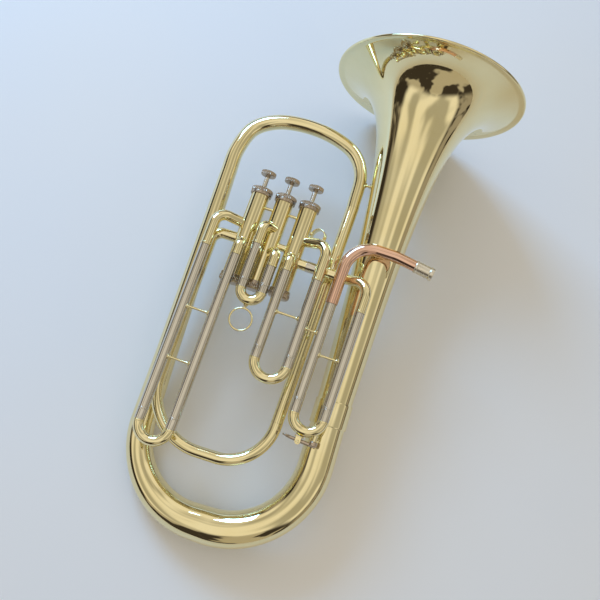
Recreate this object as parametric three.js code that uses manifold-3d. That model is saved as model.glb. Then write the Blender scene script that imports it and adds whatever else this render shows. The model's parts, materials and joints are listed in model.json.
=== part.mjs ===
// A three-valve euphonium of the small-bell, baritone-proportioned kind, lying on its back.
// Millimetres. Inside the instrument's own group, +X runs from the valves to the bell, +Y runs
// along the bell from the bottom bow to the rim, and +Z points out of the front, towards the
// slides. The bell's axis crosses the rim plane at X = 0. The outer group lays all this on its
// back on the plane Z = 0, with the bell's rim and the bottom bow touching it.
import * as THREE from "three";
import { mergeVertices } from "three/addons/utils/BufferGeometryUtils.js";
import Module from "manifold-3d";

const wasm = await Module();
wasm.setup();

// Overall sizes
const LENGTH = 620; // lowest point of the bottom bow to the bell's rim
const BELL_RADIUS = 122.5; // bell rim, over the rolled edge
const WALL = 0.7; // thickness of every tube's wall
const GAP = 0.3; // gap left between two pieces that touch
const RUN = 0.3; // radial clearance of a piece that moves inside another

// Bell: radius = BELL_RADIUS * (1 + distance from rim / FLARE_START) ^ -FLARE_POWER
const FLARE_START = 18;
const FLARE_POWER = 0.55;
const RIM_BEAD = 2; // radius of the rolled edge
const BELL_LEAN = 0.5; // degrees the bell's axis leans, its lower end towards the valves
const BELL_FOOT = 187; // height of the bell's lower end
const BELL_END = LENGTH - BELL_FOOT; // distance from the rim to that end
const FERRULE_LENGTH = 30;
const FERRULE_SPACE = 1.22; // radial clearance of the ferrule over the bell's lower end

// Large tubes: the bottom bow, the left branch and the top bow
const BOW_GROWTH = 0.77; // how much wider the bow's tube is than the bell's lower end
const BOW_RADIUS = toHundredth(bellRadius(BELL_END) + BOW_GROWTH); // at the bell side and the bottom
const BOW_BOTTOM = BOW_RADIUS + 0.4; // height of the bow's centre line at its lowest
const BOW_END_RADIUS = 15.2; // tube radius where the bow meets the left branch
const BOW_BEND_BELL = 102; // centre-line radius of the bend on the bell side
const BOW_BEND_LEFT = 94; // centre-line radius of the bend under the left branch
const LEFT_X = -216.8; // centre line of the left branch
const BRANCH_DROP = 180; // from the bell's rim down to where both branches meet the top bow
const BRANCH_TOP = LENGTH - BRANCH_DROP;
const BRANCH_TOP_RADIUS = 10.3;
const TOP_BOW_END_RADIUS = 8;
const STAY_HEIGHT = BRANCH_TOP + 33; // height of the stay between the top bow and the bell
const STAY_SPACE = 5.5; // space there between the bow and the bell
const STAY_DROP = LENGTH - STAY_HEIGHT; // the same, from the bell's rim down
const BESIDE_BELL = bellRadius(STAY_DROP) - bellAxis(STAY_DROP).x + STAY_SPACE + TOP_BOW_END_RADIUS;
const DOWN_X = -toHundredth(BESIDE_BELL); // the top bow's lower end on the bell side
const DOWN_FOOT = new THREE.Vector3(DOWN_X - 9, 158, 25); // the descending branch's lower end
const SMALL_RADIUS = 7.2; // tube radius of the small bow and the descending branch's foot
const SMALL_BOW_BOTTOM = 100.5; // height of the small bow's centre line at its lowest

// Valves, in the valve frame: p across, q along the valves, depth towards the front
const VALVE_LEAN = 2; // degrees the valves lean, their tops towards the bell
const VALVE_ORIGIN_X = -130.5; // middle valve's axis at q = 0, level with the caps' tops
const VALVE_DROP = 200; // from the bell's rim down to q = 0
const VALVE_ORIGIN_Y = LENGTH - VALVE_DROP;
const VALVE_DEPTH = 27; // depth of the valves' axes in front of the bell's axis
const CASING_RADIUS = 11.4;
const CASING_WALL = 2.2;
const CASING_BORE = CASING_RADIUS - CASING_WALL;
const CAP_RIM = 2; // how far the caps stand out from the casing
const CAP_RADIUS = CASING_RADIUS + CAP_RIM;
const CAP_SPACE = 4.2; // space between neighbouring caps
const VALVE_PITCH = 2 * CAP_RADIUS + CAP_SPACE;
const TOP_CAP_LOW = -6.5; // q of the top cap's lower edge
const TOP_CAP_HIGH = 3; // q of its top face
const BOTTOM_CAP_HIGH = -110;
const BOTTOM_CAP_LOW = -121;
const CAP_WALL = 1.7;
const STEM_RADIUS = 3;
const PISTON_LENGTH = 74;
const PISTON_TOP = -15;
const BUTTON_RADIUS = 9.4;
const BUTTON_LOW = 20.6; // q of the button's underside
const BUTTON_HEIGHT = 5.2;

// Valve slides and the main tuning slide
const TUBE_RADIUS = 6.3; // outer radius of the slides' sleeves and crooks
const KNUCKLE_RADIUS = TUBE_RADIUS + 0.2;
const LEADPIPE_RADIUS = 7.3;
const LEADPIPE_OVER = -31.5; // q of the leadpipe's run over the bell
const BELL_SPACE = 4.85; // space between the leadpipe and the bell under it
const SLIDE_DEPTH = VALVE_DEPTH + CAP_RADIUS + TUBE_RADIUS + GAP; // the slides pass in front of the caps
const MAIN_DEPTH = toHundredth(bellRadius(VALVE_DROP - LEADPIPE_OVER) + BELL_SPACE + LEADPIPE_RADIUS);
const BRACE_RADIUS = 1.7;
const FLANGE_RADIUS = 3.5;
// left and right are the legs' p, top and seam the sleeves' q, end the q where the crook's bend starts
const SLIDES = {
  first: {
    left: -VALVE_PITCH - 37.6,
    right: -VALVE_PITCH + 0.4,
    depth: SLIDE_DEPTH,
    top: -89.5,
    seam: -293,
    end: -305,
  },
  second: { left: -11, right: 14.2, depth: SLIDE_DEPTH, top: -90.3, topLeft: -69.5, seam: -115, end: -124 },
  third: {
    left: VALVE_PITCH + 1.4,
    right: VALVE_PITCH + 39.8,
    depth: SLIDE_DEPTH,
    top: -89.5,
    seam: -184.3,
    end: -196.5,
  },
  main: {
    left: VALVE_PITCH + 64,
    right: VALVE_PITCH + 99,
    depth: MAIN_DEPTH,
    top: -109,
    seam: -225.5,
    end: -240,
  },
};
const UPPER_PORT = -45; // q of the ports the long knuckles leave from
const LOWER_PORT = -71.5; // q of the ports the short front knuckles leave from
const RETURN_PORT = -65.5; // q of the tube that leaves valve 1 for the small bow
const CROSS_PORT = -72.5; // q of the tube between valve 3 and the main tuning slide

// Leadpipe, receiver, finger ring and thumb ring
const LEADPIPE_TURN = SLIDES.main.right + 20; // p where it starts to dip towards the receiver
const LEADPIPE_DIP = 9; // degrees it dips
const LEADPIPE_END = LEADPIPE_TURN + 28; // p where the receiver starts
const LEADPIPE_END_RADIUS = LEADPIPE_RADIUS - 0.6;
const RECEIVER_WALL = 0.9;
const RECEIVER_RADIUS = LEADPIPE_END_RADIUS + GAP + RECEIVER_WALL;
const RECEIVER_LENGTH = 23;
const FINGER_RING_RADIUS = 13.3; // to the middle of the wire
const RING_WIRE = 1.2;
const THUMB_RING_RADIUS = 9.5;
const THUMB_RING_TURN = 20; // degrees the ring's hole turns towards the left branch

// Water key under the main tuning slide
const MAIN_CROOK_LOW = crookLow(SLIDES.main); // q of the lowest point of the main crook
const KEY_PIVOT = { p: SLIDES.main.left + 14.5, q: MAIN_CROOK_LOW - 6.7 };
const KEY_BARREL_RADIUS = 3.4;
const KEY_PIN_RADIUS = 1.2;
const KEY_ARM_RADIUS = 2.2;
const KEY_CUP = {
  p: SLIDES.main.right - 3,
  radius: 4.8,
  top: MAIN_CROOK_LOW - 0.7,
  low: MAIN_CROOK_LOW - 8.2,
};
const KEY_PLATE = {
  p: SLIDES.main.left,
  radius: 4.6,
  top: MAIN_CROOK_LOW - 2.4,
  low: MAIN_CROOK_LOW - 5.6,
};

// The lie on the table
const LIE_TILT = 7.12; // degrees the bell end is raised by its rim
const LIE_ROLL = 10.65; // degrees the valve side drops, until the bow touches under the left branch

function rad(degrees) {
  return THREE.MathUtils.degToRad(degrees);
}

// Sizes worked out from the bell's curve are kept to a hundredth of a millimetre.
function toHundredth(size) {
  return Math.round(size * 100) / 100;
}

// A point given in the valve frame.
function onValves(p, q, depth) {
  const lean = rad(VALVE_LEAN);
  const x = VALVE_ORIGIN_X + p * Math.cos(lean) + q * Math.sin(lean);
  const y = VALVE_ORIGIN_Y - p * Math.sin(lean) + q * Math.cos(lean);
  return new THREE.Vector3(x, y, depth);
}

// A direction given in the valve frame.
function alongValves(p, q, depth) {
  return onValves(p, q, depth).sub(onValves(0, 0, 0)).normalize();
}

// Materials
function metal(name, color, roughness) {
  return new THREE.MeshStandardMaterial({ name, color, roughness, metalness: 1 });
}
const brass = metal("lacquered brass", 0xd9b45c, 0.18);
const nickel = metal("nickel silver", 0xc8c0aa, 0.2);
const roseBrass = metal("rose brass", 0xd99a7a, 0.2);
const satin = metal("satin nickel", 0xb9b4ac, 0.38);

// Booleans
function toSolid(geometry) {
  const bare = geometry.index ? geometry.toNonIndexed() : geometry.clone();
  bare.deleteAttribute("normal");
  bare.deleteAttribute("uv");
  const merged = mergeVertices(bare, 1e-4);
  return new wasm.Manifold(
    new wasm.Mesh({
      numProp: 3,
      vertProperties: merged.attributes.position.array,
      triVerts: new Uint32Array(merged.index.array),
    }),
  );
}

function toGeometry(solid) {
  const mesh = solid.getMesh();
  const geometry = new THREE.BufferGeometry();
  geometry.setAttribute("position", new THREE.BufferAttribute(mesh.vertProperties, 3));
  geometry.setIndex(new THREE.BufferAttribute(mesh.triVerts, 1));
  return geometry;
}

function joined(...geometries) {
  return toGeometry(geometries.map(toSolid).reduce((a, b) => a.add(b)));
}

function cut(geometry, ...cutters) {
  return toGeometry(cutters.map(toSolid).reduce((a, b) => a.subtract(b), toSolid(geometry)));
}

// Paths: lists of stations, each a point and a direction
function bentPath(corners, steps = 4) {
  const stations = [];
  const points = corners.map((corner) => corner.at);
  let direction = points[1].clone().sub(points[0]).normalize();
  stations.push({ point: points[0], direction });
  for (let i = 1; i < points.length - 1; i++) {
    const next = points[i + 1].clone().sub(points[i]).normalize();
    const turn = direction.angleTo(next);
    const axis = direction.clone().cross(next).normalize();
    const reach = corners[i].bend * Math.tan(turn / 2);
    const start = points[i].clone().addScaledVector(direction, -reach);
    const toCentre = axis.clone().cross(direction);
    const centre = start.clone().addScaledVector(toCentre, corners[i].bend);
    const spoke = start.clone().sub(centre);
    for (let k = 0; k <= steps; k++) {
      const angle = (turn * k) / steps;
      stations.push({
        point: centre.clone().add(spoke.clone().applyAxisAngle(axis, angle)),
        direction: direction.clone().applyAxisAngle(axis, angle),
      });
    }
    direction = next;
  }
  stations.push({ point: points.at(-1), direction });
  return stations;
}

function smoothPath(points, steps) {
  const curve = new THREE.CatmullRomCurve3(points);
  const stations = [];
  for (let k = 0; k <= steps; k++) {
    stations.push({ point: curve.getPointAt(k / steps), direction: curve.getTangentAt(k / steps) });
  }
  return stations;
}

// Value at a share of the length, read from [share, value] pairs.
function graded(pairs) {
  return (share) => {
    const i = Math.max(1, pairs.findIndex((pair) => pair[0] >= share - 1e-9));
    const [x0, y0] = pairs[i - 1];
    const [x1, y1] = pairs[i];
    return y0 + ((y1 - y0) * (share - x0)) / (x1 - x0);
  };
}

// A round tube along stations. radius is a number or a function of the share of the length.
// A wall of 0 makes a solid rod.
function tube(stations, radius, wall = WALL, sides = 12) {
  const radiusAt = typeof radius === "function" ? radius : () => radius;
  const lengths = [0];
  for (let i = 1; i < stations.length; i++) {
    lengths.push(lengths[i - 1] + stations[i].point.distanceTo(stations[i - 1].point));
  }
  const positions = [];
  const index = [];
  const normal = new THREE.Vector3(0, 0, 1);
  if (Math.abs(stations[0].direction.z) > 0.9) normal.set(0, 1, 0);
  normal.addScaledVector(stations[0].direction, -normal.dot(stations[0].direction)).normalize();
  const rings = wall > 0 ? 2 : 1;
  stations.forEach((station, i) => {
    if (i > 0) {
      normal.applyQuaternion(
        new THREE.Quaternion().setFromUnitVectors(stations[i - 1].direction, station.direction),
      );
    }
    const binormal = station.direction.clone().cross(normal);
    const outer = radiusAt(lengths[i] / lengths.at(-1));
    for (let ring = 0; ring < rings; ring++) {
      for (let j = 0; j < sides; j++) {
        const angle = (2 * Math.PI * j) / sides;
        const r = outer - ring * wall;
        const p = station.point
          .clone()
          .addScaledVector(normal, r * Math.cos(angle))
          .addScaledVector(binormal, r * Math.sin(angle));
        positions.push(p.x, p.y, p.z);
      }
    }
  });
  const at = (i, ring, j) => (i * rings + ring) * sides + (j % sides);
  const quad = (a, b, c, d) => index.push(a, b, c, a, c, d);
  const last = stations.length - 1;
  for (let j = 0; j < sides; j++) {
    for (let i = 0; i < last; i++) {
      quad(at(i, 0, j), at(i, 0, j + 1), at(i + 1, 0, j + 1), at(i + 1, 0, j));
      if (wall > 0) quad(at(i, 1, j), at(i + 1, 1, j), at(i + 1, 1, j + 1), at(i, 1, j + 1));
    }
    if (wall > 0) {
      quad(at(0, 0, j), at(0, 1, j), at(0, 1, j + 1), at(0, 0, j + 1));
      quad(at(last, 0, j), at(last, 0, j + 1), at(last, 1, j + 1), at(last, 1, j));
    }
  }
  if (wall === 0) {
    const first = positions.length / 3;
    for (const i of [0, last]) positions.push(...stations[i].point.toArray());
    for (let j = 0; j < sides; j++) {
      index.push(first, at(0, 0, j + 1), at(0, 0, j));
      index.push(first + 1, at(last, 0, j), at(last, 0, j + 1));
    }
  }
  const geometry = new THREE.BufferGeometry();
  geometry.setAttribute("position", new THREE.Float32BufferAttribute(positions, 3));
  geometry.setIndex(index);
  return geometry;
}

function rod(from, to, radius, sides = 10) {
  return tube(bentPath([{ at: from }, { at: to }]), radius, 0, sides);
}

function pipe(from, to, radius, wall = WALL, sides = 12) {
  return tube(bentPath([{ at: from }, { at: to }]), radius, wall, sides);
}

// A turned piece: a closed profile of [radius, height] pairs, revolved round its own Y axis.
function turned(profile, segments = 18) {
  const points = profile.map(([r, y]) => new THREE.Vector2(r, y));
  if (profile[0][0] > 0) points.push(points[0].clone());
  return new THREE.LatheGeometry(points, segments);
}

// Turns a geometry made along +Y so that it starts at a point and runs along a direction.
function aimed(geometry, start, direction) {
  const turn = new THREE.Quaternion().setFromUnitVectors(new THREE.Vector3(0, 1, 0), direction);
  return geometry.applyQuaternion(turn).translate(start.x, start.y, start.z);
}

const instrument = new THREE.Group();
function place(name, geometry, material) {
  const mesh = new THREE.Mesh(geometry, material);
  mesh.name = name;
  instrument.add(mesh);
  return mesh;
}

// The outside of the bell at a distance from its rim.
function bellRadius(fromRim) {
  return BELL_RADIUS * (1 + fromRim / FLARE_START) ** -FLARE_POWER;
}

function bellAxis(fromRim) {
  const lean = rad(BELL_LEAN);
  return new THREE.Vector3(-fromRim * Math.sin(lean), LENGTH - fromRim * Math.cos(lean), 0);
}

const bellUp = bellAxis(0).sub(bellAxis(1)).normalize();

function bell() {
  const steps = [BELL_END, 300, 190, 120, 80, 54, 36, 24, 15, 8, 3];
  const outside = steps.map((s) => [bellRadius(s), -s]);
  const beadCentre = [BELL_RADIUS - RIM_BEAD, -RIM_BEAD];
  const bead = [-90, -30, 30, 90, 150].map((degrees) => [
    beadCentre[0] + RIM_BEAD * Math.cos(rad(degrees)),
    beadCentre[1] + RIM_BEAD * Math.sin(rad(degrees)),
  ]);
  const inside = [...steps].reverse().map((s) => {
    const slope = (bellRadius(s + 0.5) - bellRadius(s - 0.5)) / 1;
    const norm = Math.hypot(1, slope);
    return [bellRadius(s) - WALL / norm, -s - (WALL * slope) / norm];
  });
  const geometry = turned([...outside, ...bead, ...inside], 36);
  place("bell", aimed(geometry, bellAxis(0), bellUp), brass);
}

function bellFerrule() {
  const half = FERRULE_LENGTH / 2;
  const inner = toHundredth(bellRadius(BELL_END) + FERRULE_SPACE);
  const outer = inner + 0.6;
  const profile = [
    [inner, -half],
    [outer - 0.3, -half],
    [outer, -half + 0.8],
    [outer, half - 0.8],
    [outer - 0.3, half],
    [inner, half],
  ];
  place("bell_ferrule", aimed(turned(profile, 24), bellAxis(BELL_END), bellUp), brass);
}

function bottomBow() {
  const start = bellAxis(BELL_END + GAP);
  const path = bentPath(
    [
      { at: start },
      { at: new THREE.Vector3(start.x, BOW_BOTTOM, 0), bend: BOW_BEND_BELL },
      { at: new THREE.Vector3(LEFT_X, BOW_BOTTOM, 0), bend: BOW_BEND_LEFT },
      { at: new THREE.Vector3(LEFT_X, BOW_BOTTOM + BOW_BEND_LEFT + 3, 0) },
    ],
    7,
  );
  const taper = BOW_RADIUS - BOW_END_RADIUS;
  const radius = graded([
    [0, bellRadius(BELL_END)],
    [0.2, BOW_RADIUS],
    [0.58, BOW_RADIUS],
    [0.72, BOW_END_RADIUS + 0.59375 * taper],
    [0.86, BOW_END_RADIUS + 0.1875 * taper],
    [1, BOW_END_RADIUS],
  ]);
  place("bottom_bow", tube(path, radius, WALL, 20), brass);
}

function leftBranch() {
  const foot = new THREE.Vector3(LEFT_X, BOW_BOTTOM + BOW_BEND_LEFT + 3 + GAP, 0);
  const top = new THREE.Vector3(LEFT_X, BRANCH_TOP - GAP, 0);
  const radius = graded([
    [0, BOW_END_RADIUS],
    [0.25, 13.4],
    [1, BRANCH_TOP_RADIUS],
  ]);
  const stations = [0, 0.25, 1].map((share) => ({
    point: foot.clone().lerp(top, share),
    direction: new THREE.Vector3(0, 1, 0),
  }));
  place("left_branch", tube(stations, radius, WALL, 16), brass);
}

function topBow() {
  const middle = (LEFT_X + DOWN_X) / 2;
  // Each point as X and a height above the branches' tops.
  const outline = [
    [LEFT_X, 0],
    [LEFT_X + 1, 34],
    [LEFT_X + 12.8, 67],
    [LEFT_X + 38.8, 84],
    [middle - 6.1, 89.5],
    [DOWN_X - 49, 84],
    [DOWN_X - 19, 70],
    [DOWN_X - 3, 46],
    [DOWN_X, 0],
  ];
  const points = outline.map(([x, rise]) => new THREE.Vector3(x, BRANCH_TOP + rise, 0));
  const path = smoothPath(points, 16);
  path[0].direction = new THREE.Vector3(0, 1, 0);
  const radius = graded([
    [0, BRANCH_TOP_RADIUS],
    [1, TOP_BOW_END_RADIUS],
  ]);
  place("top_bow", tube(path, radius, WALL, 14), brass);
}

function descendingBranch() {
  const top = new THREE.Vector3(DOWN_X, BRANCH_TOP - GAP - 1, 0);
  const foot = DOWN_FOOT.clone();
  const down = foot.clone().sub(top).normalize();
  const path = [
    { point: top, direction: new THREE.Vector3(0, -1, 0) },
    { point: top.clone().addScaledVector(down, 20), direction: down },
    { point: foot, direction: down },
  ];
  const radius = graded([
    [0, TOP_BOW_END_RADIUS],
    [0.5, SMALL_RADIUS + 0.1],
    [1, SMALL_RADIUS],
  ]);
  place("descending_branch", tube(path, radius), brass);
}

// Valve 1's outlet, the tube down the left side and the small bow, all one bent tube.
function smallBow() {
  const top = new THREE.Vector3(DOWN_X, BRANCH_TOP - GAP - 1, 0);
  const down = DOWN_FOOT.clone().sub(top).normalize();
  const start = DOWN_FOOT.clone().addScaledVector(down, GAP);
  const leftColumn = SLIDES.first.left - 1;
  const turnPoint = onValves(leftColumn, RETURN_PORT, VALVE_DEPTH);
  const leftFoot = onValves(leftColumn, RETURN_PORT - 240, DOWN_FOOT.z);
  leftFoot.y = SMALL_BOW_BOTTOM;
  const path = bentPath([
    { at: onValves(-VALVE_PITCH - 4, RETURN_PORT, VALVE_DEPTH) },
    { at: turnPoint, bend: 13 },
    { at: leftFoot, bend: 70 },
    { at: new THREE.Vector3(start.x - 1.7, SMALL_BOW_BOTTOM, DOWN_FOOT.z + 4), bend: 56 },
    { at: start },
  ]);
  const radius = graded([
    [0, SMALL_RADIUS - 0.6],
    [0.5, SMALL_RADIUS - 0.2],
    [1, SMALL_RADIUS],
  ]);
  place("small_bow", cut(tube(path, radius), casingSpace(-VALVE_PITCH)), brass);
}

// Valves
function valve(number, p) {
  const up = alongValves(0, 1, 0);
  const at = (q) => onValves(p, q, VALVE_DEPTH);
  const casingTop = TOP_CAP_HIGH - CAP_WALL - GAP;
  const casingLow = BOTTOM_CAP_LOW + CAP_WALL + GAP;
  const casing = [
    [CASING_BORE, casingLow],
    [CASING_RADIUS, casingLow],
    [CASING_RADIUS, casingTop],
    [CASING_BORE, casingTop],
  ];
  place("valve_casing_" + number, aimed(turned(casing), at(0), up), brass);

  const socket = CASING_RADIUS + GAP;
  const topCap = [
    [socket, TOP_CAP_LOW],
    [CAP_RADIUS - 0.6, TOP_CAP_LOW],
    [CAP_RADIUS, TOP_CAP_LOW + 0.8],
    [CAP_RADIUS, TOP_CAP_HIGH - 1.3],
    [CAP_RADIUS - 1.3, TOP_CAP_HIGH - 0.2],
    [STEM_RADIUS + 1.6, TOP_CAP_HIGH],
    [STEM_RADIUS + RUN, TOP_CAP_HIGH],
    [STEM_RADIUS + RUN, TOP_CAP_HIGH - CAP_WALL],
    [socket, TOP_CAP_HIGH - CAP_WALL],
  ];
  place("top_cap_" + number, aimed(turned(topCap), at(0), up), satin);

  const bottomCap = [
    [0, BOTTOM_CAP_LOW],
    [CAP_RADIUS - 1.5, BOTTOM_CAP_LOW],
    [CAP_RADIUS, BOTTOM_CAP_LOW + 1.5],
    [CAP_RADIUS, BOTTOM_CAP_HIGH - 0.8],
    [CAP_RADIUS - 0.6, BOTTOM_CAP_HIGH],
    [socket, BOTTOM_CAP_HIGH],
    [socket, BOTTOM_CAP_LOW + CAP_WALL],
    [0, BOTTOM_CAP_LOW + CAP_WALL],
  ];
  place("bottom_cap_" + number, aimed(turned(bottomCap), at(0), up), satin);

  const pistonRadius = CASING_BORE - RUN;
  const piston = [
    [0, PISTON_TOP - 8],
    [pistonRadius - 1.4, PISTON_TOP - 8],
    [pistonRadius - 1.4, PISTON_TOP - PISTON_LENGTH],
    [pistonRadius, PISTON_TOP - PISTON_LENGTH],
    [pistonRadius, PISTON_TOP],
    [STEM_RADIUS, PISTON_TOP],
    [STEM_RADIUS, BUTTON_LOW + 2.6],
    [0, BUTTON_LOW + 2.6],
  ];
  place("piston_" + number, aimed(turned(piston, 16), at(0), up), nickel);

  const high = BUTTON_LOW + BUTTON_HEIGHT;
  const button = [
    [0, BUTTON_LOW + 2.6 + GAP],
    [STEM_RADIUS + GAP, BUTTON_LOW + 2.6 + GAP],
    [STEM_RADIUS + GAP, BUTTON_LOW],
    [BUTTON_RADIUS - 0.8, BUTTON_LOW],
    [BUTTON_RADIUS, BUTTON_LOW + 0.8],
    [BUTTON_RADIUS, high - 1],
    [BUTTON_RADIUS - 1, high],
    [0, high],
  ];
  place("finger_button_" + number, aimed(turned(button), at(0), up), satin);
}

// The room a valve's casing takes, cut from what is soldered to its side.
function casingSpace(p, top = TOP_CAP_HIGH - 3) {
  const low = BOTTOM_CAP_LOW + 1;
  return rod(onValves(p, top, VALVE_DEPTH), onValves(p, low, VALVE_DEPTH), CASING_RADIUS + GAP, 20);
}

function betweenCasings(name, p, q, radius, wall) {
  const reach = VALVE_PITCH / 2 - CASING_RADIUS + 3;
  const middle = p + VALVE_PITCH / 2;
  const bar = tube(
    bentPath([
      { at: onValves(middle - reach, q, VALVE_DEPTH) },
      { at: onValves(middle + reach, q, VALVE_DEPTH) },
    ]),
    radius,
    wall,
    12,
  );
  const top = TOP_CAP_HIGH + 2;
  place(name, cut(bar, casingSpace(p, top), casingSpace(p + VALVE_PITCH, top)), brass);
}

// A knuckle tube from a valve's side or front to the top of a slide's sleeve.
function knuckle(name, valveP, start, corner, end, bend) {
  const path = bentPath([
    { at: onValves(...start) },
    { at: onValves(...corner), bend },
    { at: onValves(...end) },
  ]);
  place(name, cut(tube(path, KNUCKLE_RADIUS), casingSpace(valveP)), brass);
}

// The fixed outer tube of one slide leg.
function sleeve(name, p, top, seam, depth) {
  place(name, pipe(onValves(p, top - GAP, depth), onValves(p, seam, depth), TUBE_RADIUS), nickel);
}

// The lowest point of a slide's crook.
function crookLow({ left, right, end }) {
  return end - (right - left) / 2 - TUBE_RADIUS;
}

// The moving part of a slide: two inner legs, their end rings and the round crook.
function crook(name, slide, fittings = []) {
  const { left, right, depth, seam, end } = slide;
  const bend = (right - left) / 2;
  const path = bentPath(
    [
      { at: onValves(left, seam - GAP, depth) },
      { at: onValves(left, end - bend, depth), bend: bend - 0.01 },
      { at: onValves(right, end - bend, depth), bend: bend - 0.01 },
      { at: onValves(right, seam - GAP, depth) },
    ],
    5,
  );
  const inner = TUBE_RADIUS - WALL - RUN;
  const tops = [
    [left, slide.topLeft ?? slide.top],
    [right, slide.top],
  ];
  const legs = tops.flatMap(([p, top]) => [
    pipe(onValves(p, top - 4, depth), onValves(p, seam - 4, depth), inner, 1.2),
    pipe(onValves(p, seam - 1, depth), onValves(p, seam - 5, depth), TUBE_RADIUS - WALL / 2, 1.6),
  ]);
  return place(name, joined(tube(path, TUBE_RADIUS), ...legs, ...fittings), brass);
}

// A thin rod with a round flange at each end, between two tubes of the given radii.
function brace(name, from, to, fromRadius, toRadius) {
  const direction = to.clone().sub(from).normalize();
  const start = from.clone().addScaledVector(direction, fromRadius + GAP);
  const length = to.distanceTo(from) - fromRadius - toRadius - 2 * GAP;
  const profile = [
    [0, 0],
    [FLANGE_RADIUS, 0],
    [FLANGE_RADIUS - 0.4, 0.9],
    [BRACE_RADIUS, 2],
    [BRACE_RADIUS, length - 2],
    [FLANGE_RADIUS - 0.4, length - 0.9],
    [FLANGE_RADIUS, length],
    [0, length],
  ];
  place(name, aimed(turned(profile, 12), start, direction), brass);
}

function slideBrace(name, slide, q) {
  brace(
    name,
    onValves(slide.left, q, slide.depth),
    onValves(slide.right, q, slide.depth),
    TUBE_RADIUS,
    TUBE_RADIUS,
  );
}

function firstSlide() {
  const s = SLIDES.first;
  knuckle(
    "slide1_knuckle_left",
    -VALVE_PITCH,
    [-VALVE_PITCH - 5, UPPER_PORT - 1, VALVE_DEPTH],
    [s.left, UPPER_PORT - 1, s.depth],
    [s.left, s.top, s.depth],
    15,
  );
  knuckle(
    "slide1_knuckle_right",
    -VALVE_PITCH,
    [-VALVE_PITCH, LOWER_PORT, VALVE_DEPTH + 6],
    [s.right, LOWER_PORT, s.depth],
    [s.right, s.top, s.depth],
    8,
  );
  sleeve("slide1_sleeve_left", s.left, s.top, s.seam, s.depth);
  sleeve("slide1_sleeve_right", s.right, s.top, s.seam, s.depth);
  slideBrace("slide1_brace_upper", s, -166);
  slideBrace("slide1_brace_lower", s, -228.5);
  crook("slide1_crook", s);
}

function secondSlide() {
  const s = SLIDES.second;
  knuckle(
    "slide2_knuckle_left",
    0,
    [1, UPPER_PORT + 1.5, VALVE_DEPTH + 5],
    [s.left, UPPER_PORT + 1.5, s.depth],
    [s.left, s.topLeft, s.depth],
    9,
  );
  knuckle(
    "slide2_knuckle_right",
    0,
    [5, LOWER_PORT, VALVE_DEPTH + 5],
    [s.right, LOWER_PORT, s.depth],
    [s.right, s.top, s.depth],
    8,
  );
  sleeve("slide2_sleeve_left", s.left, s.topLeft, s.seam, s.depth);
  sleeve("slide2_sleeve_right", s.right, s.top, s.seam, s.depth);
  crook("slide2_crook", s);
}

// The pull ring on the second slide, with the short post that holds it to the crook.
function fingerRing() {
  const s = SLIDES.second;
  const middle = (s.left + s.right) / 2;
  const low = crookLow(s);
  const centreQ = low - 4.5 - FINGER_RING_RADIUS;
  const centre = onValves(middle, centreQ, s.depth);
  const ring = new THREE.TorusGeometry(FINGER_RING_RADIUS, RING_WIRE, 6, 28);
  ring.translate(centre.x, centre.y, centre.z);
  const post = rod(
    onValves(middle, low - GAP, s.depth),
    onValves(middle, low - 5, s.depth),
    2.2,
  );
  place("finger_ring", joined(ring, post), brass);
}

function thirdSlide() {
  const s = SLIDES.third;
  knuckle(
    "slide3_knuckle_left",
    VALVE_PITCH,
    [VALVE_PITCH, LOWER_PORT, VALVE_DEPTH + 6],
    [s.left, LOWER_PORT, s.depth],
    [s.left, s.top, s.depth],
    8,
  );
  knuckle(
    "slide3_knuckle_right",
    VALVE_PITCH,
    [VALVE_PITCH + 5, UPPER_PORT, VALVE_DEPTH],
    [s.right, UPPER_PORT, s.depth],
    [s.right, s.top, s.depth],
    15,
  );
  sleeve("slide3_sleeve_left", s.left, s.top, s.seam, s.depth);
  sleeve("slide3_sleeve_right", s.right, s.top, s.seam, s.depth);
  slideBrace("slide3_brace", s, -139);
  crook("slide3_crook", s);
}

// The tube from valve 3 behind the leadpipe to the main tuning slide's right leg.
function crossTube() {
  const s = SLIDES.main;
  const behind = s.depth - LEADPIPE_RADIUS - TUBE_RADIUS - 1.1;
  const path = bentPath(
    [
      { at: onValves(VALVE_PITCH + 5, CROSS_PORT, VALVE_DEPTH - 0.7) },
      { at: onValves(s.left + 8, CROSS_PORT, behind), bend: 26 },
      { at: onValves(s.right, CROSS_PORT, s.depth), bend: 17 },
      { at: onValves(s.right, s.top, s.depth) },
    ],
    4,
  );
  place("cross_tube", cut(tube(path, TUBE_RADIUS + 0.1), casingSpace(VALVE_PITCH)), brass);
}

function leadpipeEnd() {
  const drop = (LEADPIPE_END - LEADPIPE_TURN) * Math.tan(rad(LEADPIPE_DIP));
  return onValves(LEADPIPE_END, LEADPIPE_OVER - drop, MAIN_DEPTH);
}

function leadpipe() {
  const s = SLIDES.main;
  const path = bentPath([
    { at: onValves(s.left, s.top, s.depth) },
    { at: onValves(s.left, LEADPIPE_OVER, s.depth), bend: 32 },
    { at: onValves(LEADPIPE_TURN, LEADPIPE_OVER, s.depth), bend: 60 },
    { at: leadpipeEnd() },
  ]);
  const radius = graded([
    [0, TUBE_RADIUS + 1],
    [0.1, LEADPIPE_RADIUS],
    [0.6, LEADPIPE_RADIUS],
    [1, LEADPIPE_END_RADIUS],
  ]);
  place("leadpipe", tube(path, radius), roseBrass);
}

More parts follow.
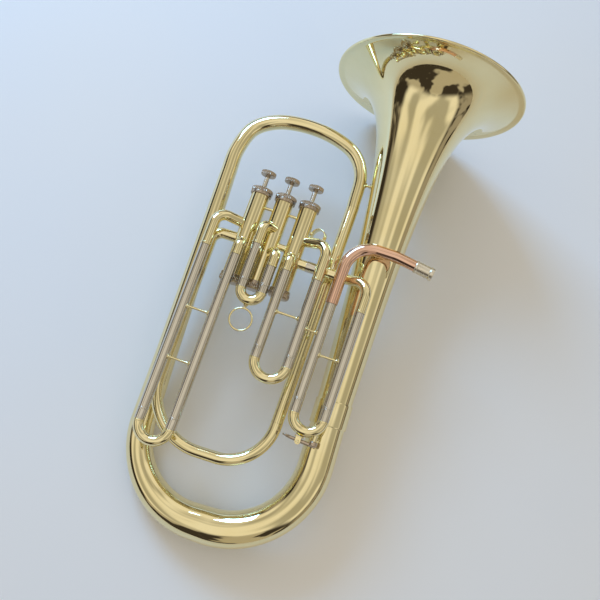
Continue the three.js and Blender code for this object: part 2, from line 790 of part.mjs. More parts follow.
function receiver() {
  const dip = rad(LEADPIPE_DIP);
  const direction = alongValves(Math.cos(dip), -Math.sin(dip), 0);
  const start = leadpipeEnd().addScaledVector(direction, -4);
  const socket = LEADPIPE_END_RADIUS + GAP;
  const profile = [
    [socket, 0],
    [RECEIVER_RADIUS - 0.4, 0],
    [RECEIVER_RADIUS, 0.8],
    [RECEIVER_RADIUS - 0.5, RECEIVER_LENGTH - 5],
    [RECEIVER_RADIUS + 0.2, RECEIVER_LENGTH - 4],
    [RECEIVER_RADIUS + 0.2, RECEIVER_LENGTH],
    [RECEIVER_RADIUS - 1.7, RECEIVER_LENGTH],
    [RECEIVER_RADIUS - 2.5, 4 + GAP],
    [socket, 4 + GAP],
  ];
  place("mouthpiece_receiver", aimed(turned(profile), start, direction), satin);
}

function mainSlide() {
  const s = SLIDES.main;
  sleeve("main_sleeve_left", s.left, s.top, s.seam, s.depth);
  sleeve("main_sleeve_right", s.right, s.top, s.seam, s.depth);
  slideBrace("main_brace", s, -170.5);
  brace(
    "sleeve_stay",
    onValves(SLIDES.third.right, -147, SLIDE_DEPTH),
    onValves(s.left, -147, s.depth),
    TUBE_RADIUS,
    TUBE_RADIUS,
  );
  const nippleEnds = [KEY_CUP.top + 8.5, KEY_CUP.top].map((q) => onValves(KEY_CUP.p, q, s.depth));
  const nipple = pipe(...nippleEnds, 2.8, 1.2, 12);
  crook("main_crook", s, [cut(nipple, mainCrookBore())]);
}

// The air space of the main crook, cut out of what is soldered to it.
function mainCrookBore() {
  const { left, right, depth, end } = SLIDES.main;
  const bend = (right - left) / 2;
  const path = bentPath([
    { at: onValves(left, end + 5, depth) },
    { at: onValves(left, end - bend, depth), bend: bend - 0.01 },
    { at: onValves(right, end - bend, depth), bend: bend - 0.01 },
    { at: onValves(right, end + 5, depth) },
  ]);
  return tube(path, TUBE_RADIUS - WALL, 0);
}

// The two-eared saddle under the main crook, with the pin the water key turns on.
function waterKeySaddle() {
  const { p, q } = KEY_PIVOT;
  const depth = MAIN_DEPTH;
  const block = (w, h, d, at) => {
    const box = new THREE.BoxGeometry(w, h, d);
    return box.rotateZ(-rad(VALVE_LEAN)).translate(at.x, at.y, at.z);
  };
  const height = MAIN_CROOK_LOW - GAP - q;
  const ears = [-1, 1].map((side) =>
    block(6.4, height + 3, 1.2, onValves(p, q + (height - 3) / 2, depth + side * 5)),
  );
  const base = block(6.4, 1.4, 11.2, onValves(p, MAIN_CROOK_LOW - GAP - 0.7, depth));
  const pin = rod(onValves(p, q, depth - 6.4), onValves(p, q, depth + 6.4), KEY_PIN_RADIUS, 12);
  place("water_key_saddle", joined(base, ...ears, pin), brass);
}

// The water key: barrel round the pin, arm to the cup under the drain nipple, thumb plate.
function waterKey() {
  const { p, q } = KEY_PIVOT;
  const depth = MAIN_DEPTH;
  const barrel = rod(onValves(p, q, depth - 3.9), onValves(p, q, depth + 3.9), KEY_BARREL_RADIUS, 16);
  const hole = rod(onValves(p, q, depth - 5), onValves(p, q, depth + 5), KEY_PIN_RADIUS + RUN, 12);
  const disc = ({ p: at, radius, top, low }) =>
    rod(onValves(at, top - GAP, depth), onValves(at, low, depth), radius, 16);
  const arm = rod(
    onValves(KEY_PLATE.p, (KEY_PLATE.top + KEY_PLATE.low) / 2 - 0.6, depth),
    onValves(KEY_CUP.p, q + 0.6, depth),
    KEY_ARM_RADIUS,
    12,
  );
  place("water_key", cut(joined(barrel, arm, disc(KEY_CUP), disc(KEY_PLATE)), hole), satin);
}

function bellStay() {
  const from = new THREE.Vector3(DOWN_X - 0.3, STAY_HEIGHT, 0);
  const to = new THREE.Vector3(bellAxis(STAY_DROP).x, STAY_HEIGHT, 0);
  brace("bell_stay", from, to, TOP_BOW_END_RADIUS + 0.5, bellRadius(STAY_DROP - FLANGE_RADIUS) + 0.7);
}

// The ring for the right thumb, on a short foot beside valve 3.
function thumbRing() {
  const p = VALVE_PITCH + CASING_RADIUS + GAP + THUMB_RING_RADIUS;
  const q = -31;
  const depth = 19;
  const centre = onValves(p, q, depth);
  const profile = [
    [THUMB_RING_RADIUS - 1.6, -4],
    [THUMB_RING_RADIUS, -4],
    [THUMB_RING_RADIUS, 4],
    [THUMB_RING_RADIUS - 1.6, 4],
  ];
  const turn = rad(THUMB_RING_TURN);
  const ring = aimed(turned(profile, 20), centre, alongValves(-Math.sin(turn), 0, Math.cos(turn)));
  const foot = rod(
    onValves(VALVE_PITCH + 6, q, depth + 3.5),
    onValves(p - THUMB_RING_RADIUS + 0.8, q, depth + 1),
    2.5,
  );
  place("thumb_ring", cut(joined(ring, foot), casingSpace(VALVE_PITCH)), brass);
}

bell();
bellFerrule();
bottomBow();
leftBranch();
topBow();
descendingBranch();
smallBow();
for (const number of [1, 2, 3]) {
  valve(number, (number - 2) * VALVE_PITCH);
}
betweenCasings("tie_rod_12", -VALVE_PITCH, -19.5, 2, 0);
betweenCasings("tie_rod_23", 0, -19.5, 2, 0);
betweenCasings("port_tube_12", -VALVE_PITCH, -60.5, 4.6, WALL);
betweenCasings("port_tube_23", 0, -60.5, 4.6, WALL);
firstSlide();
secondSlide();
fingerRing();
thirdSlide();
crossTube();
leadpipe();
receiver();
mainSlide();
waterKeySaddle();
waterKey();
bellStay();
thumbRing();

// Lays the instrument on its back and drops it onto the plane Z = 0.
function layDown() {
  const lie = new THREE.Group();
  lie.add(instrument);
  instrument.rotation.order = "YXZ";
  instrument.rotation.set(rad(LIE_TILT), rad(-LIE_ROLL), 0);
  lie.updateMatrixWorld(true);
  const box = new THREE.Box3().setFromObject(lie, true);
  const centre = box.getCenter(new THREE.Vector3());
  instrument.position.set(-centre.x, -centre.y, -box.min.z);
  lie.updateMatrixWorld(true);
  return lie;
}

export default layDown();
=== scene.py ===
"""A three-valve euphonium in lacquered brass, lying on its back on a pale floor.

Lengths are in millimetres in the instrument's own frame, as in the CAD source: +X from the valves
to the bell, +Y along the bell to its rim, +Z out of the front. to_row() takes a point from there
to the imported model's frame, in metres.
"""

import json
import math

import bmesh
import bpy
from mathutils import Matrix, Vector

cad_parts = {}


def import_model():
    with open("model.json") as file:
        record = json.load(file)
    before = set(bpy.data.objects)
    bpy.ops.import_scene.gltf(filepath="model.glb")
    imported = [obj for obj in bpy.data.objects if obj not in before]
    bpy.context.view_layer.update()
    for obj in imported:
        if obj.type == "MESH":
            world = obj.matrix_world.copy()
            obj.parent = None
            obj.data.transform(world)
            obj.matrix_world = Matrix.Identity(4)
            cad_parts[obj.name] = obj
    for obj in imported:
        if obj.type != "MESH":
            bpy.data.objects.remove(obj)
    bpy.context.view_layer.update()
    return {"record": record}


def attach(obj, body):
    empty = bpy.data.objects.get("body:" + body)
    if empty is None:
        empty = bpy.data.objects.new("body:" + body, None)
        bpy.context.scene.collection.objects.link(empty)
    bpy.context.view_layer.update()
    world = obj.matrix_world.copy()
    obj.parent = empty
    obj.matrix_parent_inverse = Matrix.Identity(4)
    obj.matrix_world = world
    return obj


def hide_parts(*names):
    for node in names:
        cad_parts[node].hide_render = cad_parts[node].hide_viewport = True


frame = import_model()
RECORD = frame["record"]
BODY_OF = {node: body for body, nodes in RECORD["behaviour"]["bodies"].items() for node in nodes}

# Sizes, as in the CAD source
LENGTH = 620  # lowest point of the bottom bow to the bell's rim
BELL_RADIUS = 122.5
WALL = 0.7  # thickness of every tube's wall
GAP = 0.3  # left between two pieces that touch
RUN = 0.3  # radial clearance of a piece that moves inside another
FLARE_START = 18
FLARE_POWER = 0.55
RIM_BEAD = 2
BELL_LEAN = math.radians(0.5)
BELL_FOOT = 187
BELL_END = LENGTH - BELL_FOOT


def bell_radius(from_rim):
    return BELL_RADIUS * (1 + from_rim / FLARE_START) ** -FLARE_POWER


def bell_axis(from_rim):
    return Vector((-from_rim * math.sin(BELL_LEAN), LENGTH - from_rim * math.cos(BELL_LEAN), 0))


def to_hundredth(size):
    """Sizes worked out from the bell's curve are kept to a hundredth of a millimetre."""
    return round(size * 100) / 100


BOW_GROWTH = 0.77  # how much wider the bow's tube is than the bell's lower end
BOW_RADIUS = to_hundredth(bell_radius(BELL_END) + BOW_GROWTH)
BOW_BOTTOM = BOW_RADIUS + 0.4
BOW_END_RADIUS = 15.2
BOW_BEND_BELL = 102
BOW_BEND_LEFT = 94
BOW_END = BOW_BOTTOM + BOW_BEND_LEFT + 3  # height at which the bow meets the left branch
FERRULE_LENGTH = 30
FERRULE_SPACE = 0.45  # radial clearance over the bow
FERRULE_WALL = 0.6
LEFT_X = -216.8
BRANCH_DROP = 180
BRANCH_TOP = LENGTH - BRANCH_DROP
BRANCH_TOP_RADIUS = 10.3
TOP_BOW_END_RADIUS = 8
STAY_HEIGHT = BRANCH_TOP + 33
STAY_SPACE = 5.5  # between the top bow and the bell
STAY_DROP = LENGTH - STAY_HEIGHT
BESIDE_BELL = bell_radius(STAY_DROP) - bell_axis(STAY_DROP).x + STAY_SPACE + TOP_BOW_END_RADIUS
DOWN_X = -to_hundredth(BESIDE_BELL)
DOWN_FOOT = Vector((DOWN_X - 9, 158, 25))
SMALL_RADIUS = 7.2
SMALL_BOW_BOTTOM = 100.5

VALVE_LEAN = math.radians(2)
VALVE_DROP = 200
VALVE_ORIGIN = (-130.5, LENGTH - VALVE_DROP)
VALVE_DEPTH = 27
CASING_RADIUS = 11.4
CASING_BORE = CASING_RADIUS - 2.2
CAP_RADIUS = CASING_RADIUS + 2
CAP_SPACE = 4.2
VALVE_PITCH = 2 * CAP_RADIUS + CAP_SPACE
TOP_CAP_LOW = -6.5
TOP_CAP_HIGH = 3
BOTTOM_CAP_HIGH = -110
BOTTOM_CAP_LOW = -121
CAP_WALL = 1.7
CAP_KNURL = (0.75, 32)  # depth and count of the grooves
STEM_RADIUS = 3
STEM_SEAT = 2.6  # how far the stem reaches into the button
PISTON_LENGTH = 74
PISTON_TOP = -15
BUTTON_RADIUS = 9.4
BUTTON_LOW = 20.6
BUTTON_HEIGHT = 5.2
BUTTON_KNURL = (0.7, 20)
TIE_ROD_Q, TIE_ROD_RADIUS = -19.5, 2
PORT_TUBE_Q, PORT_TUBE_RADIUS = -60.5, 4.6

TUBE_RADIUS = 6.3
KNUCKLE_RADIUS = TUBE_RADIUS + 0.2
CROSS_RADIUS = TUBE_RADIUS + 0.1
LEADPIPE_RADIUS = 7.3
LEADPIPE_OVER = -31.5
BELL_SPACE = 4.85  # between the leadpipe and the bell under it
SLIDE_DEPTH = VALVE_DEPTH + CAP_RADIUS + TUBE_RADIUS + GAP
MAIN_DEPTH = to_hundredth(bell_radius(VALVE_DROP - LEADPIPE_OVER) + BELL_SPACE + LEADPIPE_RADIUS)
# left and right are the legs' p, top and seam the sleeves' q, end the q where the crook's bend starts
SLIDES = {
    "first": {
        "left": -VALVE_PITCH - 37.6,
        "right": -VALVE_PITCH + 0.4,
        "depth": SLIDE_DEPTH,
        "top": -89.5,
        "seam": -293,
        "end": -305,
    },
    "second": {
        "left": -11,
        "right": 14.2,
        "depth": SLIDE_DEPTH,
        "top": -90.3,
        "top_left": -69.5,
        "seam": -115,
        "end": -124,
    },
    "third": {
        "left": VALVE_PITCH + 1.4,
        "right": VALVE_PITCH + 39.8,
        "depth": SLIDE_DEPTH,
        "top": -89.5,
        "seam": -184.3,
        "end": -196.5,
    },
    "main": {
        "left": VALVE_PITCH + 64,
        "right": VALVE_PITCH + 99,
        "depth": MAIN_DEPTH,
        "top": -109,
        "seam": -225.5,
        "end": -240,
    },
}
UPPER_PORT = -45
LOWER_PORT = -71.5
RETURN_PORT = -65.5
CROSS_PORT = -72.5
FIRST_BRACES_Q = (-166, -228.5)
THIRD_BRACE_Q = -139
MAIN_BRACE_Q = -170.5
SLEEVE_STAY_Q = -147
BRACE_RADIUS = 1.65
FLANGE_RADIUS = 3.6
FLANGE_FADE = 2  # height over which a flange stops following its tube
# Centre-line radii of the tubes' bends
LONG_KNUCKLE_BEND = 15
SHORT_KNUCKLE_BEND = 8
SECOND_KNUCKLE_BEND = 9
SMALL_BOW_BENDS = (13, 70, 56)
CROSS_BENDS = (26, 17)
LEADPIPE_BENDS = (32, 60)
CROSS_BAND_P = VALVE_PITCH + 20  # where the nickel band on the cross tube starts


def crook_low(slide):
    """The q of a crook's lowest point."""
    return slide["end"] - (slide["right"] - slide["left"]) / 2 - TUBE_RADIUS


LEADPIPE_TURN = SLIDES["main"]["right"] + 20
LEADPIPE_DIP = math.radians(9)
LEADPIPE_END = LEADPIPE_TURN + 28
LEADPIPE_END_RADIUS = LEADPIPE_RADIUS - 0.6
RECEIVER_RADIUS = LEADPIPE_END_RADIUS + GAP + 0.9
RECEIVER_LENGTH = 23
RECEIVER_LAP = 4  # how far it reaches back over the leadpipe
RECEIVER_MOUTH = 6.2
RECEIVER_THROAT = 5.4
FINGER_RING_RADIUS = 13.3
RING_WIRE = 1.2
THUMB_RING_RADIUS = 9.5
THUMB_RING_WALL = 1.6
THUMB_RING_Q, THUMB_RING_DEPTH = -31, 19
THUMB_RING_TURN = math.radians(20)

KEY_HIGH = crook_low(SLIDES["main"])
KEY_P, KEY_Q = SLIDES["main"]["left"] + 14.5, KEY_HIGH - 6.7
KEY_BARREL_RADIUS = 3.4
KEY_PIN_RADIUS = 1.2
KEY_ARM_RADIUS = 2.2
CUP_P, CUP_RADIUS, CUP_TOP, CUP_LOW = SLIDES["main"]["right"] - 3, 4.8, KEY_HIGH - 0.7, KEY_HIGH - 8.2
PLATE_P, PLATE_RADIUS, PLATE_TOP, PLATE_LOW = SLIDES["main"]["left"], 4.6, KEY_HIGH - 2.4, KEY_HIGH - 5.6
SADDLE_DEPTHS = (4.4, 5.6)  # inner and outer face of each ear, from the middle
SADDLE_HALF = 3.2  # half the ears' width

LIE_TILT = math.radians(7.12)
LIE_ROLL = math.radians(10.65)

ROUND = 64  # facets round a tube
KNURL_SEGMENTS = 320  # facets round a knurled edge


# Frames


def on_valves(p, q, depth):
    """A point given in the valve frame: p across, q along the valves, depth towards the front."""
    x = VALVE_ORIGIN[0] + p * math.cos(VALVE_LEAN) + q * math.sin(VALVE_LEAN)
    y = VALVE_ORIGIN[1] - p * math.sin(VALVE_LEAN) + q * math.cos(VALVE_LEAN)
    return Vector((x, y, depth))


def along_valves(p, q, depth):
    """A direction given in the valve frame."""
    return (on_valves(p, q, depth) - on_valves(0, 0, 0)).normalized()


TURN = Matrix.Rotation(-LIE_ROLL, 3, "Y") @ Matrix.Rotation(LIE_TILT, 3, "X")
button_top = next(m for m in RECORD["mounts"] if m["name"] == "button_2_top")
SHIFT = Vector(button_top["pos_m"]) - TURN @ (on_valves(0, BUTTON_LOW + BUTTON_HEIGHT, VALVE_DEPTH) * 0.001)


def to_row(point):
    """From the instrument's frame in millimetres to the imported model's frame in metres."""
    return TURN @ (Vector(point) * 0.001) + SHIFT


BELL_UP = (bell_axis(0) - bell_axis(1)).normalized()
VALVE_UP = along_valves(0, 1, 0)
FRONT = Vector((0, 0, 1))


# Paths: lists of stations, each a point and a direction


def bent_path(corners, bends=(), step=4):
    """A line through the corners with an arc of the given bend radius at each inner corner."""
    points = [Vector(c) for c in corners]
    direction = (points[1] - points[0]).normalized()
    stations = [(points[0], direction)]
    for i, bend in enumerate(bends, 1):
        after = (points[i + 1] - points[i]).normalized()
        turn = direction.angle(after)
        axis = direction.cross(after).normalized()
        start = points[i] - direction * bend * math.tan(turn / 2)
        centre = start + axis.cross(direction) * bend
        count = max(3, math.ceil(math.degrees(turn) / step))
        for k in range(count + 1):
            spin = Matrix.Rotation(turn * k / count, 3, axis)
            stations.append((centre + spin @ (start - centre), spin @ direction))
        direction = after
    stations.append((points[-1], direction))
    return divided(stations)


def divided(stations, longest=14):
    """Adds stations so that no stretch is longer than the given length."""
    made = [stations[0]]
    for (a, u), (b, v) in zip(stations, stations[1:]):
        count = max(1, math.ceil((b - a).length / longest))
        for k in range(1, count + 1):
            made.append((a.lerp(b, k / count), u.lerp(v, k / count).normalized()))
    return made


def smooth_path(outline, count=96):
    """A centripetal Catmull-Rom curve through the points, at even steps along its length."""
    points = [Vector(p) for p in outline]
    first = points[0] + (points[0] - points[1])
    last = points[-1] + (points[-1] - points[-2])
    points = [first, *points, last]
    dense = []
    for i in range(1, len(points) - 2):
        p = points[i - 1 : i + 3]
        t = [0.0]
        for a, b in zip(p, p[1:]):
            t.append(t[-1] + max(1e-4, (b - a).length ** 0.5))
        for k in range(24):
            s = t[1] + (t[2] - t[1]) * k / 24
            a = [
                p[j] * ((t[j + 1] - s) / (t[j + 1] - t[j])) + p[j + 1] * ((s - t[j]) / (t[j + 1] - t[j]))
                for j in range(3)
            ]
            b = [
                a[j] * ((t[j + 2] - s) / (t[j + 2] - t[j])) + a[j + 1] * ((s - t[j]) / (t[j + 2] - t[j]))
                for j in range(2)
            ]
            dense.append(b[0] * ((t[2] - s) / (t[2] - t[1])) + b[1] * ((s - t[1]) / (t[2] - t[1])))
    dense.append(points[-2])
    lengths = [0.0]
    for a, b in zip(dense, dense[1:]):
        lengths.append(lengths[-1] + (b - a).length)
    even = []
    j = 0
    for k in range(count + 1):
        target = lengths[-1] * k / count
        while j < len(dense) - 2 and lengths[j + 1] < target:
            j += 1
        share = (target - lengths[j]) / max(1e-9, lengths[j + 1] - lengths[j])
        even.append(dense[j].lerp(dense[j + 1], min(1, share)))
    stations = []
    for k, point in enumerate(even):
        ahead = even[min(k + 1, count)] - even[max(k - 1, 0)]
        stations.append((point, ahead.normalized()))
    return stations


def graded(*pairs):
    """The value at a share of the length, in straight steps between (share, value) pairs."""

    def at(share):
        for (x0, y0), (x1, y1) in zip(pairs, pairs[1:]):
            if share <= x1 + 1e-9:
                return y0 + (y1 - y0) * (share - x0) / (x1 - x0)
        return pairs[-1][1]

    return at


# Solids


class Shape:
    """Points in the instrument's frame, in millimetres, and faces."""

    def __init__(self):
        self.points = []
        self.faces = []

    def grid(self, rows, closed_rows=False):
        """Joins rows of points, each a closed ring, into a skin."""
        start = len(self.points)
        width = len(rows[0])
        for row in rows:
            self.points.extend(row)
        last = len(rows) if closed_rows else len(rows) - 1
        for i in range(last):
            here = start + i * width
            there = start + ((i + 1) % len(rows)) * width
            for j in range(width):
                after = (j + 1) % width
                self.faces.append((here + j, here + after, there + after, there + j))

    def fan(self, ring, flipped=False):
        """Closes a ring of points with one flat face."""
        start = len(self.points)
        self.points.extend(ring)
        face = tuple(range(start, start + len(ring)))
        self.faces.append(face[::-1] if flipped else face)


def tube(stations, radius, wall=WALL, sides=ROUND, shape=None):
    """A round tube along stations. A wall of 0 makes a solid rod."""
    shape = shape or Shape()
    radius_at = radius if callable(radius) else lambda share: radius
    lengths = [0.0]
    for (a, _), (b, _) in zip(stations, stations[1:]):
        lengths.append(lengths[-1] + (b - a).length)
    normal = stations[0][1].orthogonal().normalized()
    outer, inner = [], []
    for i, (point, direction) in enumerate(stations):
        if i:
            normal = stations[i - 1][1].rotation_difference(direction) @ normal
            normal = (normal - direction * normal.dot(direction)).normalized()
        binormal = direction.cross(normal)
        r = radius_at(lengths[i] / lengths[-1])
        spokes = []
        for j in range(sides):
            angle = 2 * math.pi * j / sides
            spokes.append(normal * math.cos(angle) + binormal * math.sin(angle))
        outer.append([point + s * r for s in spokes])
        inner.append([point + s * (r - wall) for s in spokes])
    if wall:
        shape.grid([*outer, *reversed(inner)], closed_rows=True)
    else:
        shape.grid(outer)
        shape.fan(outer[0], flipped=True)
        shape.fan(outer[-1])
    return shape


def rod(start, end, radius, sides=32, shape=None):
    return tube(bent_path([start, end]), radius, 0, sides, shape)


def pipe(start, end, radius, wall=WALL, sides=ROUND, shape=None):
    return tube(bent_path([start, end]), radius, wall, sides, shape)


def eased(profile, steps=4):
    """Rounds each profile point that has a third value, its corner radius."""
    made = []
    for i, corner in enumerate(profile):
        here = Vector(corner[:2])
        if len(corner) < 3 or not corner[2] or i in (0, len(profile) - 1):
            made.append(here)
            continue
        before = Vector(profile[i - 1][:2]) - here
        after = Vector(profile[i + 1][:2]) - here
        reach = min(corner[2], before.length * 0.45, after.length * 0.45)
        a = here + before.normalized() * reach
        b = here + after.normalized() * reach
        for k in range(steps + 1):
            t = k / steps
            made.append(a * (1 - t) ** 2 + here * 2 * t * (1 - t) + b * t**2)
    return made


def turned(profile, start, direction, segments=96, shape=None, ripple=None):
    """A profile of (radius, height) points, revolved round an axis that leaves start."""
    shape = shape or Shape()
    direction = direction.normalized()
    normal = direction.orthogonal().normalized()
    binormal = direction.cross(normal)
    rows = []
    for r, h in eased(profile):
        row = []
        for j in range(segments):
            angle = 2 * math.pi * j / segments
            out = normal * math.cos(angle) + binormal * math.sin(angle)
            reach = r + (ripple(angle, h) if ripple else 0)
            row.append(start + direction * h + out * reach)
        rows.append(row)
    on_axis = profile[0][0] == 0
    shape.grid(rows, closed_rows=not on_axis)
    return shape


def torus(centre, axis, big, small, sides=24):
    """A ring of round wire."""
    profile = []
    for k in range(sides):
        angle = 2 * math.pi * k / sides
        profile.append((big + small * math.cos(angle), small * math.sin(angle)))
    return turned(profile, centre, axis)


def lip(inner, outer, length):
    """The profile of a soldered collar that ends at height 0."""
    return [(inner, -length), (outer, 0.2 - length, 0.2), (outer, -0.2, 0.2), (inner, 0)]


def knurled(low, high, depth, count):
    """Radius change for rounded grooves between two heights, fading out at both ends."""

    def ripple(angle, h):
        edge = min(h - low, high - h)
        fade = max(0.0, min(1.0, edge / 0.5))
        return -depth * fade * (0.5 - 0.5 * math.cos(count * angle)) ** 2

    return ripple


def cut_away(obj, cutters):
    """Cuts shapes out of a piece."""
    for cutter in cutters:
        tool = mesh_object("cutter", cutter)
        step = obj.modifiers.new("cut", "BOOLEAN")
        step.operation = "DIFFERENCE"
        step.solver = "MANIFOLD"
        step.object = tool
        apply_modifiers(obj)
        bpy.data.objects.remove(tool)


def apply_modifiers(obj):
    bpy.context.view_layer.update()
    graph = bpy.context.evaluated_depsgraph_get()
    mesh = bpy.data.meshes.new_from_object(obj.evaluated_get(graph))
    obj.modifiers.clear()
    obj.data = mesh


def mesh_object(name, shape):
    mesh = bpy.data.meshes.new(name)
    mesh.from_pydata([to_row(p) for p in shape.points], [], shape.faces)
    build = bmesh.new()
    build.from_mesh(mesh)
    bmesh.ops.remove_doubles(build, verts=build.verts, dist=1e-6)
    bmesh.ops.recalc_face_normals(build, faces=build.faces)
    build.to_mesh(mesh)
    build.free()
    obj = bpy.data.objects.new(name, mesh)
    bpy.context.scene.collection.objects.link(obj)
    return obj


def piece(name, shape, material, node, replaces=True, cutters=(), sharp=35):
    """Adds a finished piece that rides on the CAD node's body and takes over from it."""
    obj = mesh_object(name, shape)
    cut_away(obj, cutters)
    obj.data.materials.clear()
    obj.data.materials.append(material)
    obj.data.polygons.foreach_set("use_smooth", [True] * len(obj.data.polygons))
    obj.data.set_sharp_from_angle(angle=math.radians(sharp))
    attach(obj, BODY_OF[node])
    if replaces:
        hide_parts(node)
    return obj


# Materials


def new_material(name):
    material = bpy.data.materials.new(name)
    material.use_nodes = True
    return material, material.node_tree.nodes, material.node_tree.links


def noise(nodes, links, source, scale, detail=3.0, roughness=0.5):
    node = nodes.new("ShaderNodeTexNoise")
    node.inputs["Scale"].default_value = scale
    node.inputs["Detail"].default_value = detail
    node.inputs["Roughness"].default_value = roughness
    links.new(source, node.inputs["Vector"])
    return node.outputs["Fac"]


def spread(nodes, links, value, low, high):
    """Maps a noise's middle range to low..high."""
    node = nodes.new("ShaderNodeMapRange")
    numbers = {"From Min": 0.3, "From Max": 0.7, "To Min": low, "To Max": high}
    for socket, number in numbers.items():
        node.inputs[socket].default_value = number
    links.new(value, node.inputs["Value"])
    return node.outputs["Result"]


def blend_colors(nodes, links, factor, first, second):
    """Mixes two colours, each given as a tuple or as a node's output."""
    node = nodes.new("ShaderNodeMix")
    node.data_type = "RGBA"
    for socket, value in ((node.inputs["A"], first), (node.inputs["B"], second)):
        if isinstance(value, tuple):
            socket.default_value = (*value, 1)
        else:
            links.new(value, socket)
    links.new(factor, node.inputs["Factor"])
    return node.outputs["Result"]


def bump(nodes, links, height, distance):
    node = nodes.new("ShaderNodeBump")
    node.inputs["Strength"].default_value = 1
    node.inputs["Distance"].default_value = distance
    links.new(height, node.inputs["Height"])
    return node


# How often each pattern of the metals repeats in a metre
DRIFT_SCALE = 22
WAVE_SCALE = 60
WEAR_SCALE = 340
GRAIN_SCALE = 2600
WAVE_HEIGHT = 0.00001  # metres


def metal(name, color, deep, roughness, coat, grain=0.0):
    """Polished metal: slow colour drift, fine wear in the gloss, faint unevenness, lacquer on top."""
    material, nodes, links = new_material(name)
    shader = nodes["Principled BSDF"]
    shader.inputs["Metallic"].default_value = 1
    shader.inputs["Coat Weight"].default_value = coat
    shader.inputs["Coat Roughness"].default_value = 0.03
    shader.inputs["Coat IOR"].default_value = 1.5
    place = nodes.new("ShaderNodeTexCoord").outputs["Object"]
    drift = spread(nodes, links, noise(nodes, links, place, DRIFT_SCALE, 4, 0.6), 0, 1)
    links.new(blend_colors(nodes, links, drift, color, deep), shader.inputs["Base Color"])
    wear = noise(nodes, links, place, WEAR_SCALE, 6, 0.7)
    links.new(spread(nodes, links, wear, *roughness), shader.inputs["Roughness"])
    surface = bump(nodes, links, noise(nodes, links, place, WAVE_SCALE, 1, 0.4), WAVE_HEIGHT)
    if grain:
        fine = bump(nodes, links, noise(nodes, links, place, GRAIN_SCALE, 3, 0.6), grain)
        links.new(surface.outputs["Normal"], fine.inputs["Normal"])
        surface = fine
    links.new(surface.outputs["Normal"], shader.inputs["Normal"])
    return material


BRASS = metal("lacquered_brass", (0.90, 0.81, 0.50), (0.87, 0.76, 0.43), (0.02, 0.06), 0.3)
NICKEL = metal("nickel_silver", (0.70, 0.66, 0.58), (0.64, 0.60, 0.52), (0.05, 0.10), 0.1)
ROSE = metal("rose_brass", (0.86, 0.57, 0.43), (0.80, 0.49, 0.36), (0.035, 0.09), 0.3)
SATIN = metal("satin_nickel", (0.58, 0.48, 0.38), (0.44, 0.36, 0.28), (0.18, 0.30), 0, 0.000003)
CREAM = metal("brushed_nickel", (0.86, 0.80, 0.68), (0.80, 0.74, 0.61), (0.24, 0.34), 0, 0.000002)


# The large tubes


def bell():
    steps = [BELL_END * (k / 90) ** 2.2 for k in range(90, 0, -1)]
    steps = [s for s in steps if s > RIM_BEAD * 0.9]
    outside = [(bell_radius(s), -s) for s in steps]
    inside = []
    for s in reversed(steps):
        slope = bell_radius(s + 0.5) - bell_radius(s - 0.5)
        norm = math.hypot(1, slope)
        inside.append((bell_radius(s) - WALL / norm, -s - WALL * slope / norm))
    bead = []
    for degrees in range(-80, 181, 20):
        angle = math.radians(degrees)
        r = BELL_RADIUS - RIM_BEAD + RIM_BEAD * math.cos(angle)
        bead.append((r, -RIM_BEAD + RIM_BEAD * math.sin(angle)))
    shape = turned([*outside, *bead, *inside], bell_axis(0), BELL_UP, 192)
    piece("bell_skin", shape, BRASS, "bell", sharp=50)


def bell_ferrule():
    inner = BOW_RADIUS + FERRULE_SPACE
    outer = inner + FERRULE_WALL
    half = FERRULE_LENGTH / 2
    profile = [
        (inner, -half),
        (outer - 0.35, -half, 0.3),
        (outer, -half + 1, 0.5),
        (outer, half - 1, 0.5),
        (outer - 0.35, half, 0.3),
        (inner, half),
    ]
    piece("bell_ferrule_skin", turned(profile, bell_axis(BELL_END), BELL_UP, 128), BRASS, "bell_ferrule")


def bottom_bow():
    start = bell_axis(BELL_END)
    corners = [
        start,
        (start.x, BOW_BOTTOM, 0),
        (LEFT_X, BOW_BOTTOM, 0),
        (LEFT_X, BOW_END, 0),
    ]
    path = bent_path(corners, (BOW_BEND_BELL, BOW_BEND_LEFT), 2)
    radius = graded(
        (0, bell_radius(BELL_END)),
        (0.2, BOW_RADIUS),
        (0.58, BOW_RADIUS),
        (0.72, 19),
        (0.86, 16.4),
        (1, BOW_END_RADIUS),
    )
    piece("bottom_bow_skin", tube(path, radius, WALL, 96), BRASS, "bottom_bow")


def left_branch():
    foot = Vector((LEFT_X, BOW_END, 0))
    top = Vector((LEFT_X, BRANCH_TOP, 0))
    radius = graded((0, BOW_END_RADIUS), (0.25, 13.4), (1, BRANCH_TOP_RADIUS))
    piece("left_branch_skin", tube(bent_path([foot, top]), radius, WALL, 80), BRASS, "left_branch")


def top_bow():
    outline = [
        (LEFT_X, BRANCH_TOP),
        (LEFT_X + 1, 474),
        (-204, 507),
        (-178, 524),
        (-140, 529.5),
        (-100, 524),
        (-70, 510),
        (-54, 486),
        (DOWN_X, BRANCH_TOP),
    ]
    path = smooth_path([(x, y, 0) for x, y in outline])
    path[0] = (path[0][0], Vector((0, 1, 0)))
    radius = graded((0, BRANCH_TOP_RADIUS), (1, TOP_BOW_END_RADIUS))
    piece("top_bow_skin", tube(path, radius, WALL, 80), BRASS, "top_bow")


def descending_branch():
    top = Vector((DOWN_X, BRANCH_TOP - GAP - 1, 0))
    down = (DOWN_FOOT - top).normalized()
    lip = Vector((DOWN_X, BRANCH_TOP, 0))
    path = [(lip, Vector((0, -1, 0))), (top, Vector((0, -1, 0))), (top + down * 20, down), (DOWN_FOOT, down)]
    radius = graded((0, TOP_BOW_END_RADIUS), (0.5, SMALL_RADIUS + 0.1), (1, SMALL_RADIUS))
    piece("descending_branch_skin", tube(divided(path), radius), BRASS, "descending_branch")


